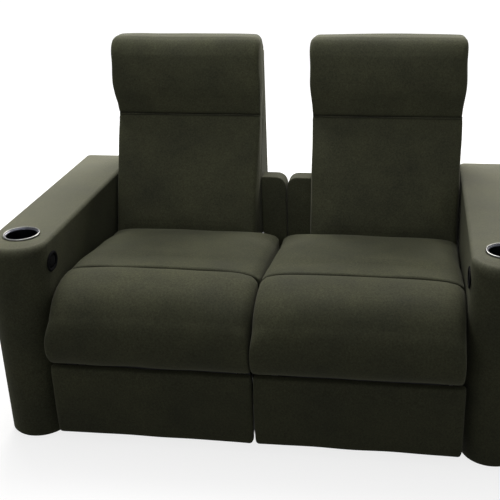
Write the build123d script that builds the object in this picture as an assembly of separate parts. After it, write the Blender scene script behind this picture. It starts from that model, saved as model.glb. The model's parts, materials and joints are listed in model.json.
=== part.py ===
"""Two-seat reclining sofa: two mirrored seat modules bolted together at the middle.

Millimetres, +Z up, front of the sofa towards -Y, origin on the floor under the middle
of the sofa's box. Distances named "from the front" run rearwards from the arms' front.
"""
import os
from math import atan2, cos, degrees, hypot, radians, sin, tan

from build123d import *

# Overall form
SEAT_LANE = 590.0  # sofa's middle plane to the inner face of an arm
ARM_WIDTH = 180.0
ARM_DEPTH = 920.0
ARM_TOP = 620.0
ROLL_OVERHANG = 42.0  # front roll ahead of the arms' front
MODULE_GAP = 0.5  # between the two modules' inner panels
SOFT_GAP = 4.0  # soft pieces to the arms and the posts
MIDDLE_GAP = 2.0  # soft pieces to the middle plane
TOUCH_GAP = 0.3  # between pieces that only lie against each other
RUN_CLEARANCE = 0.05  # radial, pins in their holes

# Arms
ARM_EDGE = 22.0  # rounding along the top
ARM_REAR_CORNER = 14.0
ARM_PADDING = 16.0
ARM_TOP_PADDING = 20.0
ARM_WALL = 15.0  # timber
ARM_TOP_BOARD = 18.0
ARM_HEM = 12.0  # cover's lower edge above the floor
GLIDE_HEIGHT = 10.0
GLIDE_RADIUS = 16.0
GLIDE_INSET = 110.0  # from each end of what it carries

# Cup holder
CUP_FROM_FRONT = 125.0
CUP_RADIUS = 45.0
CUP_WALL = 2.0
CUP_DEPTH = 78.0
CUP_FLANGE_RADIUS = 52.0
CUP_FLANGE = 3.0

# Release paddle, pressed into its oval bezel on the arm's inner face
BEZEL_FROM_FRONT = 106.0
BEZEL_BELOW_TOP = 72.0  # middle of the bezel below the arm's top
BEZEL_LENGTH = 70.0
BEZEL_TALL = 56.0
BEZEL_FLANGE = 3.0
BEZEL_RIM = 7.0
BEZEL_BODY = 14.0  # depth behind the arm's face
BEZEL_BACK = 2.0
BEZEL_LIP = 3.0  # flange beyond the body
LEVER_THICK = 3.0
LEVER_PIN_RADIUS = 2.0
LEVER_PIN_REACH = 3.0  # into the bezel's wall
LEVER_SIDE_GAP = 2.0

# Inner side panel, rear post and stretchers
PANEL_THICK = 18.0
PANEL_FRONT = 112.0
PANEL_TOP = 352.0
POST_WIDTH = 82.0
POST_FRONT = 750.0
POST_DEPTH = 64.0
POST_TOP = 600.0
POST_BOTTOM = 300.0
POST_PADDING = 14.0
POST_EDGE = 12.0
POST_CORNER = 30.0  # top corner beside the middle
STRETCHER = 30.0  # square tube
STRETCHER_WALL = 3.0
STRETCHER_Z = 85.0
STRETCHER_FRONT = 310.0
REAR_PANEL_THICK = 18.0
REAR_PANEL_LOW = 40.0
REAR_PANEL_TOP = 312.0
BOLT_RADIUS = 5.0
BOLT_HEAD_RADIUS = 9.0
BOLT_HEAD = 6.0
BOLT_FRONT = 250.0
BOLT_REAR = 640.0
BOLT_Z = 200.0

# Glide tracks
TRACK_THICK = 12.0
TRACK_TALL = 44.0
TRACK_WALL = 3.0
TRACK_Z = 322.0
TRACK_FRONT = 130.0
TRACK_REAR = 620.0
RUNNER_FRONT = 270.0
RUNNER_REAR = 570.0
RUNNER_CLEARANCE = 0.4

# Seat chassis: two plates with cross tubes
PLATE_THICK = 4.0
PLATE_TO_TRACK = 1.0
PLATE_TOP = 370.0
PLATE_BOTTOM = 292.0
PLATE_FRONT = 100.0
PLATE_REAR = 632.0
LUG_RADIUS = 15.0
TUBE_RADIUS = 10.0
CROSS_TUBE_FROM_FRONT = 420.0
CROSS_TUBE_Z = 305.0

# Back pivot, on the chassis
PIVOT_FROM_FRONT = 680.0
PIVOT_Z = 316.0

# Timber seat frame, webbing, cushion and roll
RAIL_WIDTH = 22.0
RAIL_BOTTOM = 292.0
DECK_Z = 376.0
FRONT_RAIL_FROM = 68.0
FRONT_RAIL_DEPTH = 40.0
REAR_RAIL_FROM = 560.0
REAR_RAIL_DEPTH = 34.0
WEB_THICK = 2.5
WEB_WIDTH = 52.0
WEB_PITCH = 105.0
SEAM_FROM_FRONT = 185.0
SEAM_Z = 504.0
SEAT_MID_FROM_FRONT = 400.0
SEAT_MID_Z = 486.0
SEAT_REAR_Z = 448.0
SEAT_BACK_GAP = 7.0  # cushion's rear ahead of the back's front plane
CUSHION_DROP = 24.0  # at the cushion's sides
CUSHION_SHOULDER = 60.0  # width over which the sides come down
CUSHION_SHOULDER_DROP = 8.0
ROLL_CROWN = (95.0, 499.0)  # from the front and height, on the roll's top
ROLL_BROW = (-8.0, 428.0)
ROLL_NOSE_Z = 348.0
ROLL_FOOT = (4.0, 268.0)
ROLL_HEEL = 62.0  # rear of the roll's foot from the front
ROLL_DRAW_IN = 12.0  # ends of the roll

# Back: a leaning plane from the seat up to the head seam
BACK_FOOT = (630.0, 440.0)  # from the front and height
BACK_SEAM = (785.0, 809.0)
BACK_GAP = 5.0  # to the arm and to the post
PAD_BELOW = 30.0  # lumbar pad below the plane's foot
PAD_THICK = 56.0
PAD_CROWN = 9.0
PAD_SIDE_CROWN = 3.0
PAD_SIDE_DRAW = 6.0
PAD_SHOULDER = 50.0
FRAME_BELOW = 50.0
FRAME_THICK = 36.0
FRAME_BEND = 430.0  # up the plane, where the uprights turn up
UPRIGHT_WIDTH = 40.0
BACK_RAIL = 60.0
HEAD_FRAME_TOP = (856.0, 1008.0)
HEAD_BULGE_LOW = (757.0, 905.0)
HEAD_BULGE = (755.0, 1015.0)
HEAD_BROW = (778.0, 1055.0)
HEAD_TOP = (830.0, 1069.0)
HEAD_NAPE = (878.0, 1058.0)
HEAD_SEAM_GAP = 2.0
COVER_THICK = 9.0
COVER_SIDE = 4.0
BACK_TAIL = (908.0, 480.0)  # lowest point of the back's upright rear
BRACKET_THICK = 5.0
BRACKET_INSET = 60.0  # bracket inside the back's side
BRACKET_STRAP = 24.0

# Footrest linkage: two parallelograms on each side
DRIVE_PIVOT = (120.0, 258.0)
DRIVE_LENGTH = 190.0
DRIVE_CLOSED = 105.0  # below forward, degrees
LONG_REACH = (-115.0, 138.0)  # from the drive link's end to the footrest pivot
ROD_OFFSET = (0.0, 38.0)  # control rod above the long link
FOLLOW_OFFSET = (37.0, -26.0)  # follower behind the drive link
LINK_THICK = 4.0
LINK_GAP = 1.0
LINK_RADIUS = 12.0
ROD_RADIUS = 9.0
LINK_PIN_RADIUS = 5.0
TORQUE_RADIUS = 9.0
LONG_BAR_RADIUS = 6.0
FOLLOWER_LAYER = 1  # layers from the chassis plate inwards
LONG_LAYER = 2
DRIVE_LAYER = 3
ROD_LAYER = 4

# Footrest
FOOT_BOTTOM = 34.0
FOOT_TOP = 256.0
FOOT_FRONT = -5.0  # pad's face, from the arms' front
FOOT_PAD = 28.0
FOOT_REACH = 4.0  # pad past the arm's inner face, ahead of its round front
FOOT_PAD_DRAW = 8.0
FOOT_PAD_CROWN = 6.0
FOOT_BOARD = 14.0
FOOT_BOARD_INSET = 14.0
FOOT_STRAP = 26.0
FOOT_STRAP_THICK = 3.0

# Derived places
DEPTH = ROLL_OVERHANG + ARM_DEPTH
FRONT_Y = ROLL_OVERHANG - DEPTH / 2  # arms' front in the sofa's frame
LEAN = atan2(BACK_SEAM[0] - BACK_FOOT[0], BACK_SEAM[1] - BACK_FOOT[1])
BACK_LENGTH = (BACK_SEAM[1] - BACK_FOOT[1]) / cos(LEAN)
ARM_MIDDLE = SEAT_LANE + ARM_WIDTH / 2
PANEL_INNER = MODULE_GAP / 2
PANEL_OUTER = PANEL_INNER + PANEL_THICK
POST_OUTER = MIDDLE_GAP + POST_WIDTH + TOUCH_GAP
BEZEL_HEIGHT = ARM_TOP - BEZEL_BELOW_TOP
BACK_INNER = POST_OUTER + BACK_GAP
BACK_OUTER = SEAT_LANE - BACK_GAP
SOFT_INNER = MIDDLE_GAP
SOFT_OUTER = SEAT_LANE - SOFT_GAP
PLATE_INNER = PANEL_OUTER + TRACK_THICK + PLATE_TO_TRACK  # outward face of the inner plate
PLATE_OUTER = SEAT_LANE - TRACK_THICK - PLATE_TO_TRACK  # outward face of the outer plate
PANEL_REAR = POST_FRONT + POST_DEPTH - POST_PADDING - TOUCH_GAP
POST_CORE_REACH = POST_OUTER - POST_PADDING - TOUCH_GAP


def place(x, point):
    """Point (from the front, height) of the side view, set at x."""
    return (x, FRONT_Y + point[0], point[1])


def up_back(along, behind):
    """Side-view point on the back: along its front plane, and behind it."""
    return (
        BACK_FOOT[0] + along * sin(LEAN) + behind * cos(LEAN),
        BACK_FOOT[1] + along * cos(LEAN) - behind * sin(LEAN),
    )


def closed(points):
    """Straight stretches through the points and back to the first."""
    return [(a, b) for a, b in zip(points, points[1:] + points[:1])]


def profile(x, stretches):
    """Side-view face at x: each stretch is a line's two points or an arc's three."""
    edges = []
    for stretch in stretches:
        spots = [place(x, point) for point in stretch]
        edges.append(Line(*spots) if len(spots) == 2 else ThreePointArc(*spots))
    return make_face(edges)


def prism(stretches, x_from, x_to):
    return extrude(profile(x_from, stretches), amount=x_to - x_from, dir=(1, 0, 0))


def block(x_from, x_to, y_from, y_to, z_from, z_to):
    """Box between two corners, y measured from the front."""
    size = Box(x_to - x_from, y_to - y_from, z_to - z_from)
    return Pos((x_from + x_to) / 2, FRONT_Y + (y_from + y_to) / 2, (z_from + z_to) / 2) * size


def bar(point, radius, x_from, x_to):
    """Round bar across the sofa."""
    turned = Rot(0, 90, 0) * Cylinder(radius, x_to - x_from)
    return Pos(*place((x_from + x_to) / 2, point)) * turned


def link(points, radius, x_from, x_to):
    """Flat link with round ends, along straight stretches from pivot to pivot."""
    slots = []
    for (y_a, z_a), (y_b, z_b) in zip(points, points[1:]):
        length = hypot(y_b - y_a, z_b - z_a)
        turn = degrees(atan2(z_b - z_a, y_b - y_a))
        middle = Pos(FRONT_Y + (y_a + y_b) / 2, (z_a + z_b) / 2)
        slots.append(middle * Rot(0, 0, turn) * SlotCenterToCenter(length, 2 * radius))
    return extrude(Plane.YZ.offset(x_from) * (Sketch() + slots), x_to - x_from)


def shift(point, offset):
    return (point[0] + offset[0], point[1] + offset[1])


SIDE, SHOULDER, MIDDLE = 0.0, 0.5, 1.0  # shares of a soft piece's fullness


def across(x_inner, x_outer, shoulder):
    """Stations across a soft piece: x and the share of its fullness there."""
    middle = (x_inner + x_outer) / 2
    return [
        (x_inner, SIDE),
        (x_inner + shoulder, SHOULDER),
        (middle, MIDDLE),
        (x_outer - shoulder, SHOULDER),
        (x_outer, SIDE),
    ]


# Arm


def arm_plan(inset):
    """Plan of the arm: a half-round front end and a squared rear."""
    radius = ARM_WIDTH / 2 - inset
    straight = ARM_DEPTH - ARM_WIDTH / 2 - inset
    body = Pos(0, straight / 2) * Rectangle(2 * radius, straight)
    plan = body + Circle(radius)
    corners = plan.vertices().sort_by(Axis.Y)[-2:]
    plan = fillet(corners, max(ARM_REAR_CORNER - inset, TOUCH_GAP))
    return Pos(ARM_MIDDLE, FRONT_Y + ARM_WIDTH / 2) * plan


def bezel_shape(extra):
    """Oval of the release bezel in the side view, grown by extra."""
    tall = BEZEL_TALL + 2 * extra
    oval = SlotOverall(BEZEL_LENGTH + 2 * extra, tall)
    return Pos(FRONT_Y + BEZEL_FROM_FRONT, BEZEL_HEIGHT) * oval


def bezel_prism(extra, x_from, x_to):
    return extrude(Plane.YZ.offset(x_from) * bezel_shape(extra), x_to - x_from)


def cup_post(radius, z_from, z_to):
    cylinder = Cylinder(radius, z_to - z_from, align=(Align.CENTER, Align.CENTER, Align.MIN))
    return Pos(ARM_MIDDLE, FRONT_Y + CUP_FROM_FRONT, z_from) * cylinder


def arm_cover():
    height = ARM_TOP - ARM_HEM
    outer = Pos(0, 0, ARM_HEM) * extrude(arm_plan(0), height)
    top_edges = outer.faces().sort_by(Axis.Z)[-1].edges()
    outer = fillet(top_edges, ARM_EDGE)
    hollow = Pos(0, 0, ARM_HEM) * extrude(arm_plan(ARM_PADDING), height - ARM_TOP_PADDING)
    well = cup_post(CUP_RADIUS + TOUCH_GAP, ARM_TOP - ARM_TOP_PADDING, ARM_TOP)
    window = bezel_prism(TOUCH_GAP - BEZEL_LIP, SEAT_LANE, SEAT_LANE + ARM_PADDING)
    return outer - hollow - well - window


def arm_frame():
    top = ARM_TOP - ARM_TOP_PADDING - TOUCH_GAP
    inset = ARM_PADDING + TOUCH_GAP
    outer = Pos(0, 0, GLIDE_HEIGHT) * extrude(arm_plan(inset), top - GLIDE_HEIGHT)
    floor = GLIDE_HEIGHT + ARM_WALL
    inside = extrude(arm_plan(inset + ARM_WALL), top - ARM_TOP_BOARD - floor)
    well = cup_post(CUP_RADIUS + TOUCH_GAP, top - ARM_TOP_BOARD, top)
    return outer - Pos(0, 0, floor) * inside - well


def cup_holder():
    floor = ARM_TOP - CUP_DEPTH
    shell = cup_post(CUP_RADIUS, floor, ARM_TOP)
    flange = cup_post(CUP_FLANGE_RADIUS, ARM_TOP, ARM_TOP + CUP_FLANGE)
    well = cup_post(CUP_RADIUS - CUP_WALL, floor + CUP_WALL, ARM_TOP + CUP_FLANGE)
    return shell + flange - well


def lever_axis():
    """Upright pin line of the paddle: x, and distance from the front."""
    start = BEZEL_FROM_FRONT - BEZEL_LENGTH / 2 + BEZEL_RIM + BEZEL_LIP
    return SEAT_LANE + LEVER_THICK / 2, start + BEZEL_TALL / 2 - BEZEL_RIM - BEZEL_LIP


def lever_pin(radius, reach):
    x, y = lever_axis()
    half = BEZEL_TALL / 2 - BEZEL_RIM - BEZEL_LIP + reach
    return Pos(x, FRONT_Y + y, BEZEL_HEIGHT) * Cylinder(radius, 2 * half)


def release_bezel():
    flange = bezel_prism(0, SEAT_LANE - BEZEL_FLANGE, SEAT_LANE)
    body = bezel_prism(-BEZEL_LIP, SEAT_LANE, SEAT_LANE + BEZEL_BODY)
    pocket_to = SEAT_LANE + BEZEL_BODY - BEZEL_BACK
    pocket = bezel_prism(-BEZEL_RIM - BEZEL_LIP, SEAT_LANE - BEZEL_FLANGE, pocket_to)
    pin = lever_pin(LEVER_PIN_RADIUS + RUN_CLEARANCE, LEVER_PIN_REACH + TOUCH_GAP)
    return flange + body - pocket - pin


def release_lever():
    """Oval rocker on an upright pin."""
    x = lever_axis()[0]
    shrink = BEZEL_RIM + BEZEL_LIP + LEVER_SIDE_GAP
    paddle = bezel_prism(-shrink, x - LEVER_THICK / 2, x + LEVER_THICK / 2)
    return paddle + lever_pin(LEVER_PIN_RADIUS, LEVER_PIN_REACH)


# Base


def inner_side_panel():
    panel = block(PANEL_INNER, PANEL_OUTER, PANEL_FRONT, PANEL_REAR, GLIDE_HEIGHT, PANEL_TOP)
    core_front = POST_FRONT + POST_PADDING + TOUCH_GAP
    core_top = POST_TOP - POST_PADDING - TOUCH_GAP
    core_inner = MIDDLE_GAP + POST_PADDING
    core = block(core_inner, POST_CORE_REACH, core_front, PANEL_REAR, GLIDE_HEIGHT, core_top)
    hole = BOLT_RADIUS + TOUCH_GAP
    holes = [bar((y, BOLT_Z), hole, PANEL_INNER, PANEL_OUTER) for y in (BOLT_FRONT, BOLT_REAR)]
    return panel + core - holes


def rear_post_cover():
    post_rear = POST_FRONT + POST_DEPTH
    outer = block(MIDDLE_GAP, POST_OUTER, POST_FRONT, post_rear, POST_BOTTOM, POST_TOP)
    top_edges = outer.faces().sort_by(Axis.Z)[-1].edges()
    corner = top_edges.sort_by(Axis.X)[0]
    outer = fillet(corner, POST_CORNER)
    upright = outer.edges().filter_by(Axis.Z)
    outer = fillet(upright, POST_EDGE)
    inner = MIDDLE_GAP + POST_PADDING - TOUCH_GAP
    reach = POST_OUTER - POST_PADDING
    front = POST_FRONT + POST_PADDING
    rear = post_rear - POST_PADDING
    panel_top = PANEL_TOP + TOUCH_GAP
    board_top = REAR_PANEL_TOP + TOUCH_GAP
    core = block(inner, reach, front, rear, POST_BOTTOM, POST_TOP - POST_PADDING)
    panel = block(0, PANEL_OUTER + TOUCH_GAP, POST_FRONT - POST_DEPTH, rear, POST_BOTTOM, panel_top)
    board = block(reach - POST_PADDING, SEAT_LANE, front, rear, POST_BOTTOM, board_top)
    return outer - core - panel - board


def front_stretcher():
    """Square tube that ties the inner panel to the arm."""
    rear = STRETCHER_FRONT + STRETCHER
    low = STRETCHER_Z - STRETCHER / 2
    high = STRETCHER_Z + STRETCHER / 2
    wall = STRETCHER_WALL
    outer = block(PANEL_OUTER, SEAT_LANE, STRETCHER_FRONT, rear, low, high)
    return outer - block(PANEL_OUTER, SEAT_LANE, STRETCHER_FRONT + wall, rear - wall, low + wall, high - wall)


def rear_base_panel():
    """Upholstered board across the rear, from the post's core to the arm."""
    front = PANEL_REAR - REAR_PANEL_THICK
    return block(POST_CORE_REACH, SEAT_LANE, front, PANEL_REAR, REAR_PANEL_LOW, REAR_PANEL_TOP)


def track(x_back, x_open):
    """Channel with its back against x_back and its mouth at x_open."""
    inward = 1 if x_open > x_back else -1
    low, high = sorted((x_back, x_open))
    outer = block(low, high, TRACK_FRONT, TRACK_REAR, TRACK_Z - TRACK_TALL / 2, TRACK_Z + TRACK_TALL / 2)
    low, high = sorted((x_back + inward * TRACK_WALL, x_open))
    inside = TRACK_TALL / 2 - TRACK_WALL
    return outer - block(low, high, TRACK_FRONT, TRACK_REAR, TRACK_Z - inside, TRACK_Z + inside)


def floor_glides():
    spots = [(ARM_MIDDLE, GLIDE_INSET), (ARM_MIDDLE, ARM_DEPTH - GLIDE_INSET)]
    middle = (PANEL_INNER + PANEL_OUTER) / 2
    spots += [(middle, PANEL_FRONT + GLIDE_INSET), (middle, PANEL_REAR - GLIDE_INSET)]
    glides = []
    for x, y in spots:
        radius = GLIDE_RADIUS if x == ARM_MIDDLE else PANEL_THICK / 2
        foot = Cylinder(radius, GLIDE_HEIGHT, align=(Align.CENTER, Align.CENTER, Align.MIN))
        glides.append(Pos(x, FRONT_Y + y, 0) * foot)
    return Compound(children=glides)


def module_bolt(from_front):
    """Bolt through both inner panels, with its head and nut."""
    point = (from_front, BOLT_Z)
    shank = bar(point, BOLT_RADIUS, -PANEL_OUTER, PANEL_OUTER)
    far = PANEL_OUTER + BOLT_HEAD
    head = bar(point, BOLT_HEAD_RADIUS, -far, -PANEL_OUTER)
    nut = bar(point, BOLT_HEAD_RADIUS, PANEL_OUTER, far)
    return shank + head + nut


# Seat


def drive_end():
    """Lower end of the drive link with the footrest shut."""
    swing = radians(DRIVE_CLOSED)
    return shift(DRIVE_PIVOT, (-DRIVE_LENGTH * cos(swing), -DRIVE_LENGTH * sin(swing)))


FOLLOW_PIVOT = shift(DRIVE_PIVOT, FOLLOW_OFFSET)
DRIVE_END = drive_end()
FOLLOW_END = shift(DRIVE_END, FOLLOW_OFFSET)
FOOT_PIVOT = shift(DRIVE_END, LONG_REACH)
ROD_LOW = shift(DRIVE_END, ROD_OFFSET)
ROD_HIGH = shift(FOOT_PIVOT, ROD_OFFSET)
BACK_PIVOT = (PIVOT_FROM_FRONT, PIVOT_Z)


def sides():
    """Each side's plate as (face towards the linkage, direction inwards)."""
    return [(PLATE_INNER + PLATE_THICK, 1), (PLATE_OUTER - PLATE_THICK, -1)]


def layer(face, inward, number):
    """x limits of a linkage layer: 1 lies next to the plate."""
    near = face + inward * (LINK_GAP + (number - 1) * (LINK_THICK + LINK_GAP))
    return sorted((near, near + inward * LINK_THICK))


def pin(point, face, inward, first, last):
    """Pin from the layer that carries it through to the far face of another."""
    limits = layer(face, inward, first) + layer(face, inward, last)
    return bar(point, LINK_PIN_RADIUS, min(limits), max(limits))


def pin_hole(point, face, inward, number):
    low, high = layer(face, inward, number)
    return bar(point, LINK_PIN_RADIUS + RUN_CLEARANCE, low, high)


def seat_chassis():
    body = None
    for face, inward in sides():
        low, high = sorted((face, face - inward * PLATE_THICK))
        rear_lug = link([BACK_PIVOT, (PLATE_REAR, PIVOT_Z)], LUG_RADIUS, low, high)
        plate_roots = [(pivot[0], PLATE_TOP - LUG_RADIUS) for pivot in (DRIVE_PIVOT, FOLLOW_PIVOT)]
        front_lug = link([plate_roots[0], DRIVE_PIVOT, FOLLOW_PIVOT, plate_roots[1]], LUG_RADIUS, low, high)
        plate = block(low, high, PLATE_FRONT, PLATE_REAR, PLATE_BOTTOM, PLATE_TOP) + rear_lug + front_lug
        plate -= bar(DRIVE_PIVOT, TORQUE_RADIUS + RUN_CLEARANCE, low, high)
        outer_face = face - inward * PLATE_THICK
        reach = outer_face - inward * (PLATE_TO_TRACK + TRACK_THICK - TRACK_WALL - RUNNER_CLEARANCE)
        near, far = sorted((outer_face, reach))
        half = TRACK_TALL / 2 - TRACK_WALL - RUNNER_CLEARANCE
        plate += block(near, far, RUNNER_FRONT, RUNNER_REAR, TRACK_Z - half, TRACK_Z + half)
        stub = layer(face, inward, FOLLOWER_LAYER)
        plate += bar(FOLLOW_PIVOT, LINK_PIN_RADIUS, min(low, *stub), max(high, *stub))
        body = plate if body is None else body + plate
    body += bar(BACK_PIVOT, TUBE_RADIUS, PLATE_INNER, PLATE_OUTER)
    return body + bar((CROSS_TUBE_FROM_FRONT, CROSS_TUBE_Z), TUBE_RADIUS, PLATE_INNER, PLATE_OUTER)


FRAME_INNER = PLATE_INNER + PLATE_THICK
FRAME_OUTER = PLATE_OUTER - PLATE_THICK
FRAME_REAR_END = REAR_RAIL_FROM + REAR_RAIL_DEPTH


def seat_frame():
    front_to = FRONT_RAIL_FROM + FRONT_RAIL_DEPTH
    body = block(FRAME_INNER, FRAME_OUTER, FRONT_RAIL_FROM, front_to, RAIL_BOTTOM, DECK_Z)
    body += block(FRAME_INNER, FRAME_OUTER, REAR_RAIL_FROM, FRAME_REAR_END, RAIL_BOTTOM, DECK_Z)
    for low in (FRAME_INNER, FRAME_OUTER - RAIL_WIDTH):
        body += block(low, low + RAIL_WIDTH, FRONT_RAIL_FROM, FRAME_REAR_END, RAIL_BOTTOM, DECK_Z)
    tube = (CROSS_TUBE_FROM_FRONT, CROSS_TUBE_Z)
    return body - bar(tube, TUBE_RADIUS + TOUCH_GAP, FRAME_INNER, FRAME_OUTER)


def spread(low, high):
    """Centres of the straps between two limits, about a pitch apart."""
    count = max(1, round((high - low) / WEB_PITCH))
    bay = (high - low) / count
    return [low + bay / 2 + bay * k for k in range(count)]


def seat_webbing():
    top = DECK_Z + WEB_THICK
    body = None
    for x in spread(FRAME_INNER, FRAME_OUTER):
        strap = block(x - WEB_WIDTH / 2, x + WEB_WIDTH / 2, FRONT_RAIL_FROM, FRAME_REAR_END, DECK_Z, top)
        body = strap if body is None else body + strap
    for y in spread(FRONT_RAIL_FROM, FRAME_REAR_END):
        body += block(FRAME_INNER, FRAME_OUTER, y - WEB_WIDTH / 2, y + WEB_WIDTH / 2, DECK_Z, top)
    return body


CUSHION_BOTTOM = DECK_Z + WEB_THICK + TOUCH_GAP
CUSHION_DROPS = {SIDE: CUSHION_DROP, SHOULDER: CUSHION_SHOULDER_DROP, MIDDLE: 0.0}


def cushion_rear(z):
    """Cushion's rear at a height: a little ahead of the back's front plane."""
    return BACK_FOOT[0] + (z - BACK_FOOT[1]) * tan(LEAN) - SEAT_BACK_GAP


def seat_cushion():
    sections = []
    front = SEAM_FROM_FRONT + TOUCH_GAP
    for x, share in across(SOFT_INNER, SOFT_OUTER, CUSHION_SHOULDER):
        drop = CUSHION_DROPS[share]
        seam = (front, SEAM_Z - drop)
        crown = (SEAT_MID_FROM_FRONT, SEAT_MID_Z - drop)
        rear = (cushion_rear(SEAT_REAR_Z), SEAT_REAR_Z - drop)
        rear_low = (cushion_rear(CUSHION_BOTTOM), CUSHION_BOTTOM)
        front_low = (front, CUSHION_BOTTOM)
        path = [(seam, crown, rear), (rear, rear_low), (rear_low, front_low), (front_low, seam)]
        sections.append(profile(x, path))
    return loft(sections)


def front_roll():
    sections = []
    for x, share in across(SOFT_INNER, SOFT_OUTER, CUSHION_SHOULDER):
        drop = CUSHION_DROPS[share]
        draw = ROLL_DRAW_IN * drop / CUSHION_DROP
        seam = (SEAM_FROM_FRONT - TOUCH_GAP, SEAM_Z - drop)
        crown = (ROLL_CROWN[0], ROLL_CROWN[1] - drop)
        brow = (ROLL_BROW[0] + draw, ROLL_BROW[1] - drop)
        nose = (draw - ROLL_OVERHANG, ROLL_NOSE_Z)
        foot = (ROLL_FOOT[0], ROLL_FOOT[1] + draw / 2)
        heel = (ROLL_HEEL, ROLL_FOOT[1] + draw / 2)
        deck_front = (ROLL_HEEL, CUSHION_BOTTOM)
        deck_rear = (SEAM_FROM_FRONT - TOUCH_GAP, CUSHION_BOTTOM)
        path = [(seam, crown, brow), (brow, nose, foot), (foot, heel)]
        path += [(heel, deck_front), (deck_front, deck_rear), (deck_rear, seam)]
        sections.append(profile(x, path))
    return loft(sections)


# Back


def upright_path(front, rear, low):
    """Side view of a layer of the back that turns up behind the head pad."""
    turn = HEAD_FRAME_TOP[0] - up_back(FRAME_BEND, PAD_THICK + TOUCH_GAP)[0]
    knee_front = up_back(FRAME_BEND, front)
    knee_rear = up_back(FRAME_BEND, rear)
    top_front = (knee_front[0] + turn, HEAD_FRAME_TOP[1])
    top_rear = (knee_front[0] + turn + rear - front, HEAD_FRAME_TOP[1])
    return closed([up_back(low, front), knee_front, top_front, top_rear, knee_rear, up_back(low, rear)])


FRAME_FRONT = PAD_THICK + TOUCH_GAP
FRAME_REAR = FRAME_FRONT + FRAME_THICK


def back_frame():
    left = BACK_INNER + COVER_SIDE + TOUCH_GAP
    right = BACK_OUTER - COVER_SIDE - TOUCH_GAP
    path = upright_path(FRAME_FRONT, FRAME_REAR, -FRAME_BELOW)
    body = prism(path, left, left + UPRIGHT_WIDTH) + prism(path, right - UPRIGHT_WIDTH, right)
    for low in (-FRAME_BELOW, FRAME_BEND - BACK_RAIL):
        rail = [
            up_back(low, FRAME_FRONT),
            up_back(low + BACK_RAIL, FRAME_FRONT),
            up_back(low + BACK_RAIL, FRAME_REAR),
            up_back(low, FRAME_REAR),
        ]
        body += prism(closed(rail), left, right)
    top = HEAD_FRAME_TOP[1]
    slice_rear = HEAD_FRAME_TOP[0] + 2 * FRAME_THICK
    head_slice = block(left, right, BACK_FOOT[0], slice_rear, top - BACK_RAIL, top)
    return body + (prism(path, left, right) & head_slice)


def cover_path(rear, wall):
    """Side view of the back's shell: bent front, upright rear drawn in by wall, and a sloping foot."""
    knee = up_back(FRAME_BEND, FRAME_FRONT)
    top = HEAD_FRAME_TOP[1]
    top_rear = HEAD_FRAME_TOP[0] + FRAME_THICK + TOUCH_GAP + COVER_THICK - wall
    foot_front = up_back(-FRAME_BELOW, FRAME_FRONT)
    tail = (BACK_TAIL[0] - wall, BACK_TAIL[1] + wall)
    foot_rear = up_back(-FRAME_BELOW, rear)
    return closed([foot_front, knee, (HEAD_FRAME_TOP[0], top), (top_rear, top), tail, foot_rear])


def back_cover():
    inside_rear = FRAME_REAR + TOUCH_GAP
    outer = prism(cover_path(inside_rear + COVER_THICK, 0), BACK_INNER, BACK_OUTER)
    inside = prism(cover_path(inside_rear, COVER_THICK), BACK_INNER + COVER_SIDE, BACK_OUTER - COVER_SIDE)
    return outer - inside


def lumbar_pad():
    sections = []
    top = BACK_LENGTH - HEAD_SEAM_GAP
    for x, share in across(BACK_INNER, BACK_OUTER, PAD_SHOULDER):
        draw = PAD_SIDE_DRAW * (1 - share)
        crown = PAD_SIDE_CROWN + (PAD_CROWN - PAD_SIDE_CROWN) * share
        low_front = up_back(-PAD_BELOW, draw)
        middle = up_back((top - PAD_BELOW) / 2, draw - crown)
        high_front = up_back(top, draw)
        high_rear = up_back(top, PAD_THICK)
        low_rear = up_back(-PAD_BELOW, PAD_THICK)
        path = [(low_front, middle, high_front), (high_front, high_rear)]
        path += [(high_rear, low_rear), (low_rear, low_front)]
        sections.append(profile(x, path))
    return loft(sections)


def head_pad():
    sections = []
    rear_x = HEAD_FRAME_TOP[0] + FRAME_THICK + TOUCH_GAP + COVER_THICK
    rest = HEAD_FRAME_TOP[1] + TOUCH_GAP
    shelf = up_back(FRAME_BEND, PAD_THICK)
    for x, share in across(BACK_INNER, BACK_OUTER, PAD_SHOULDER):
        draw = PAD_SIDE_DRAW * (1 - share)
        seam = up_back(BACK_LENGTH + HEAD_SEAM_GAP, draw)
        low = (HEAD_BULGE_LOW[0] + draw, HEAD_BULGE_LOW[1])
        bulge = (HEAD_BULGE[0] + draw, HEAD_BULGE[1])
        brow = (HEAD_BROW[0] + draw, HEAD_BROW[1] - draw)
        top = (HEAD_TOP[0], HEAD_TOP[1] - draw)
        nape = (HEAD_NAPE[0], HEAD_NAPE[1] - draw)
        rear = (rear_x, rest + TOUCH_GAP)
        under = (rear_x, rest)
        inner_top = (HEAD_FRAME_TOP[0] - TOUCH_GAP, rest)
        inner_low = up_back(BACK_LENGTH + HEAD_SEAM_GAP, PAD_THICK)
        path = [(seam, low, bulge), (bulge, brow, top), (top, nape, rear), (rear, under)]
        path += [(under, inner_top), (inner_top, shelf), (shelf, inner_low), (inner_low, seam)]
        sections.append(profile(x, path))
    return loft(sections)


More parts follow.
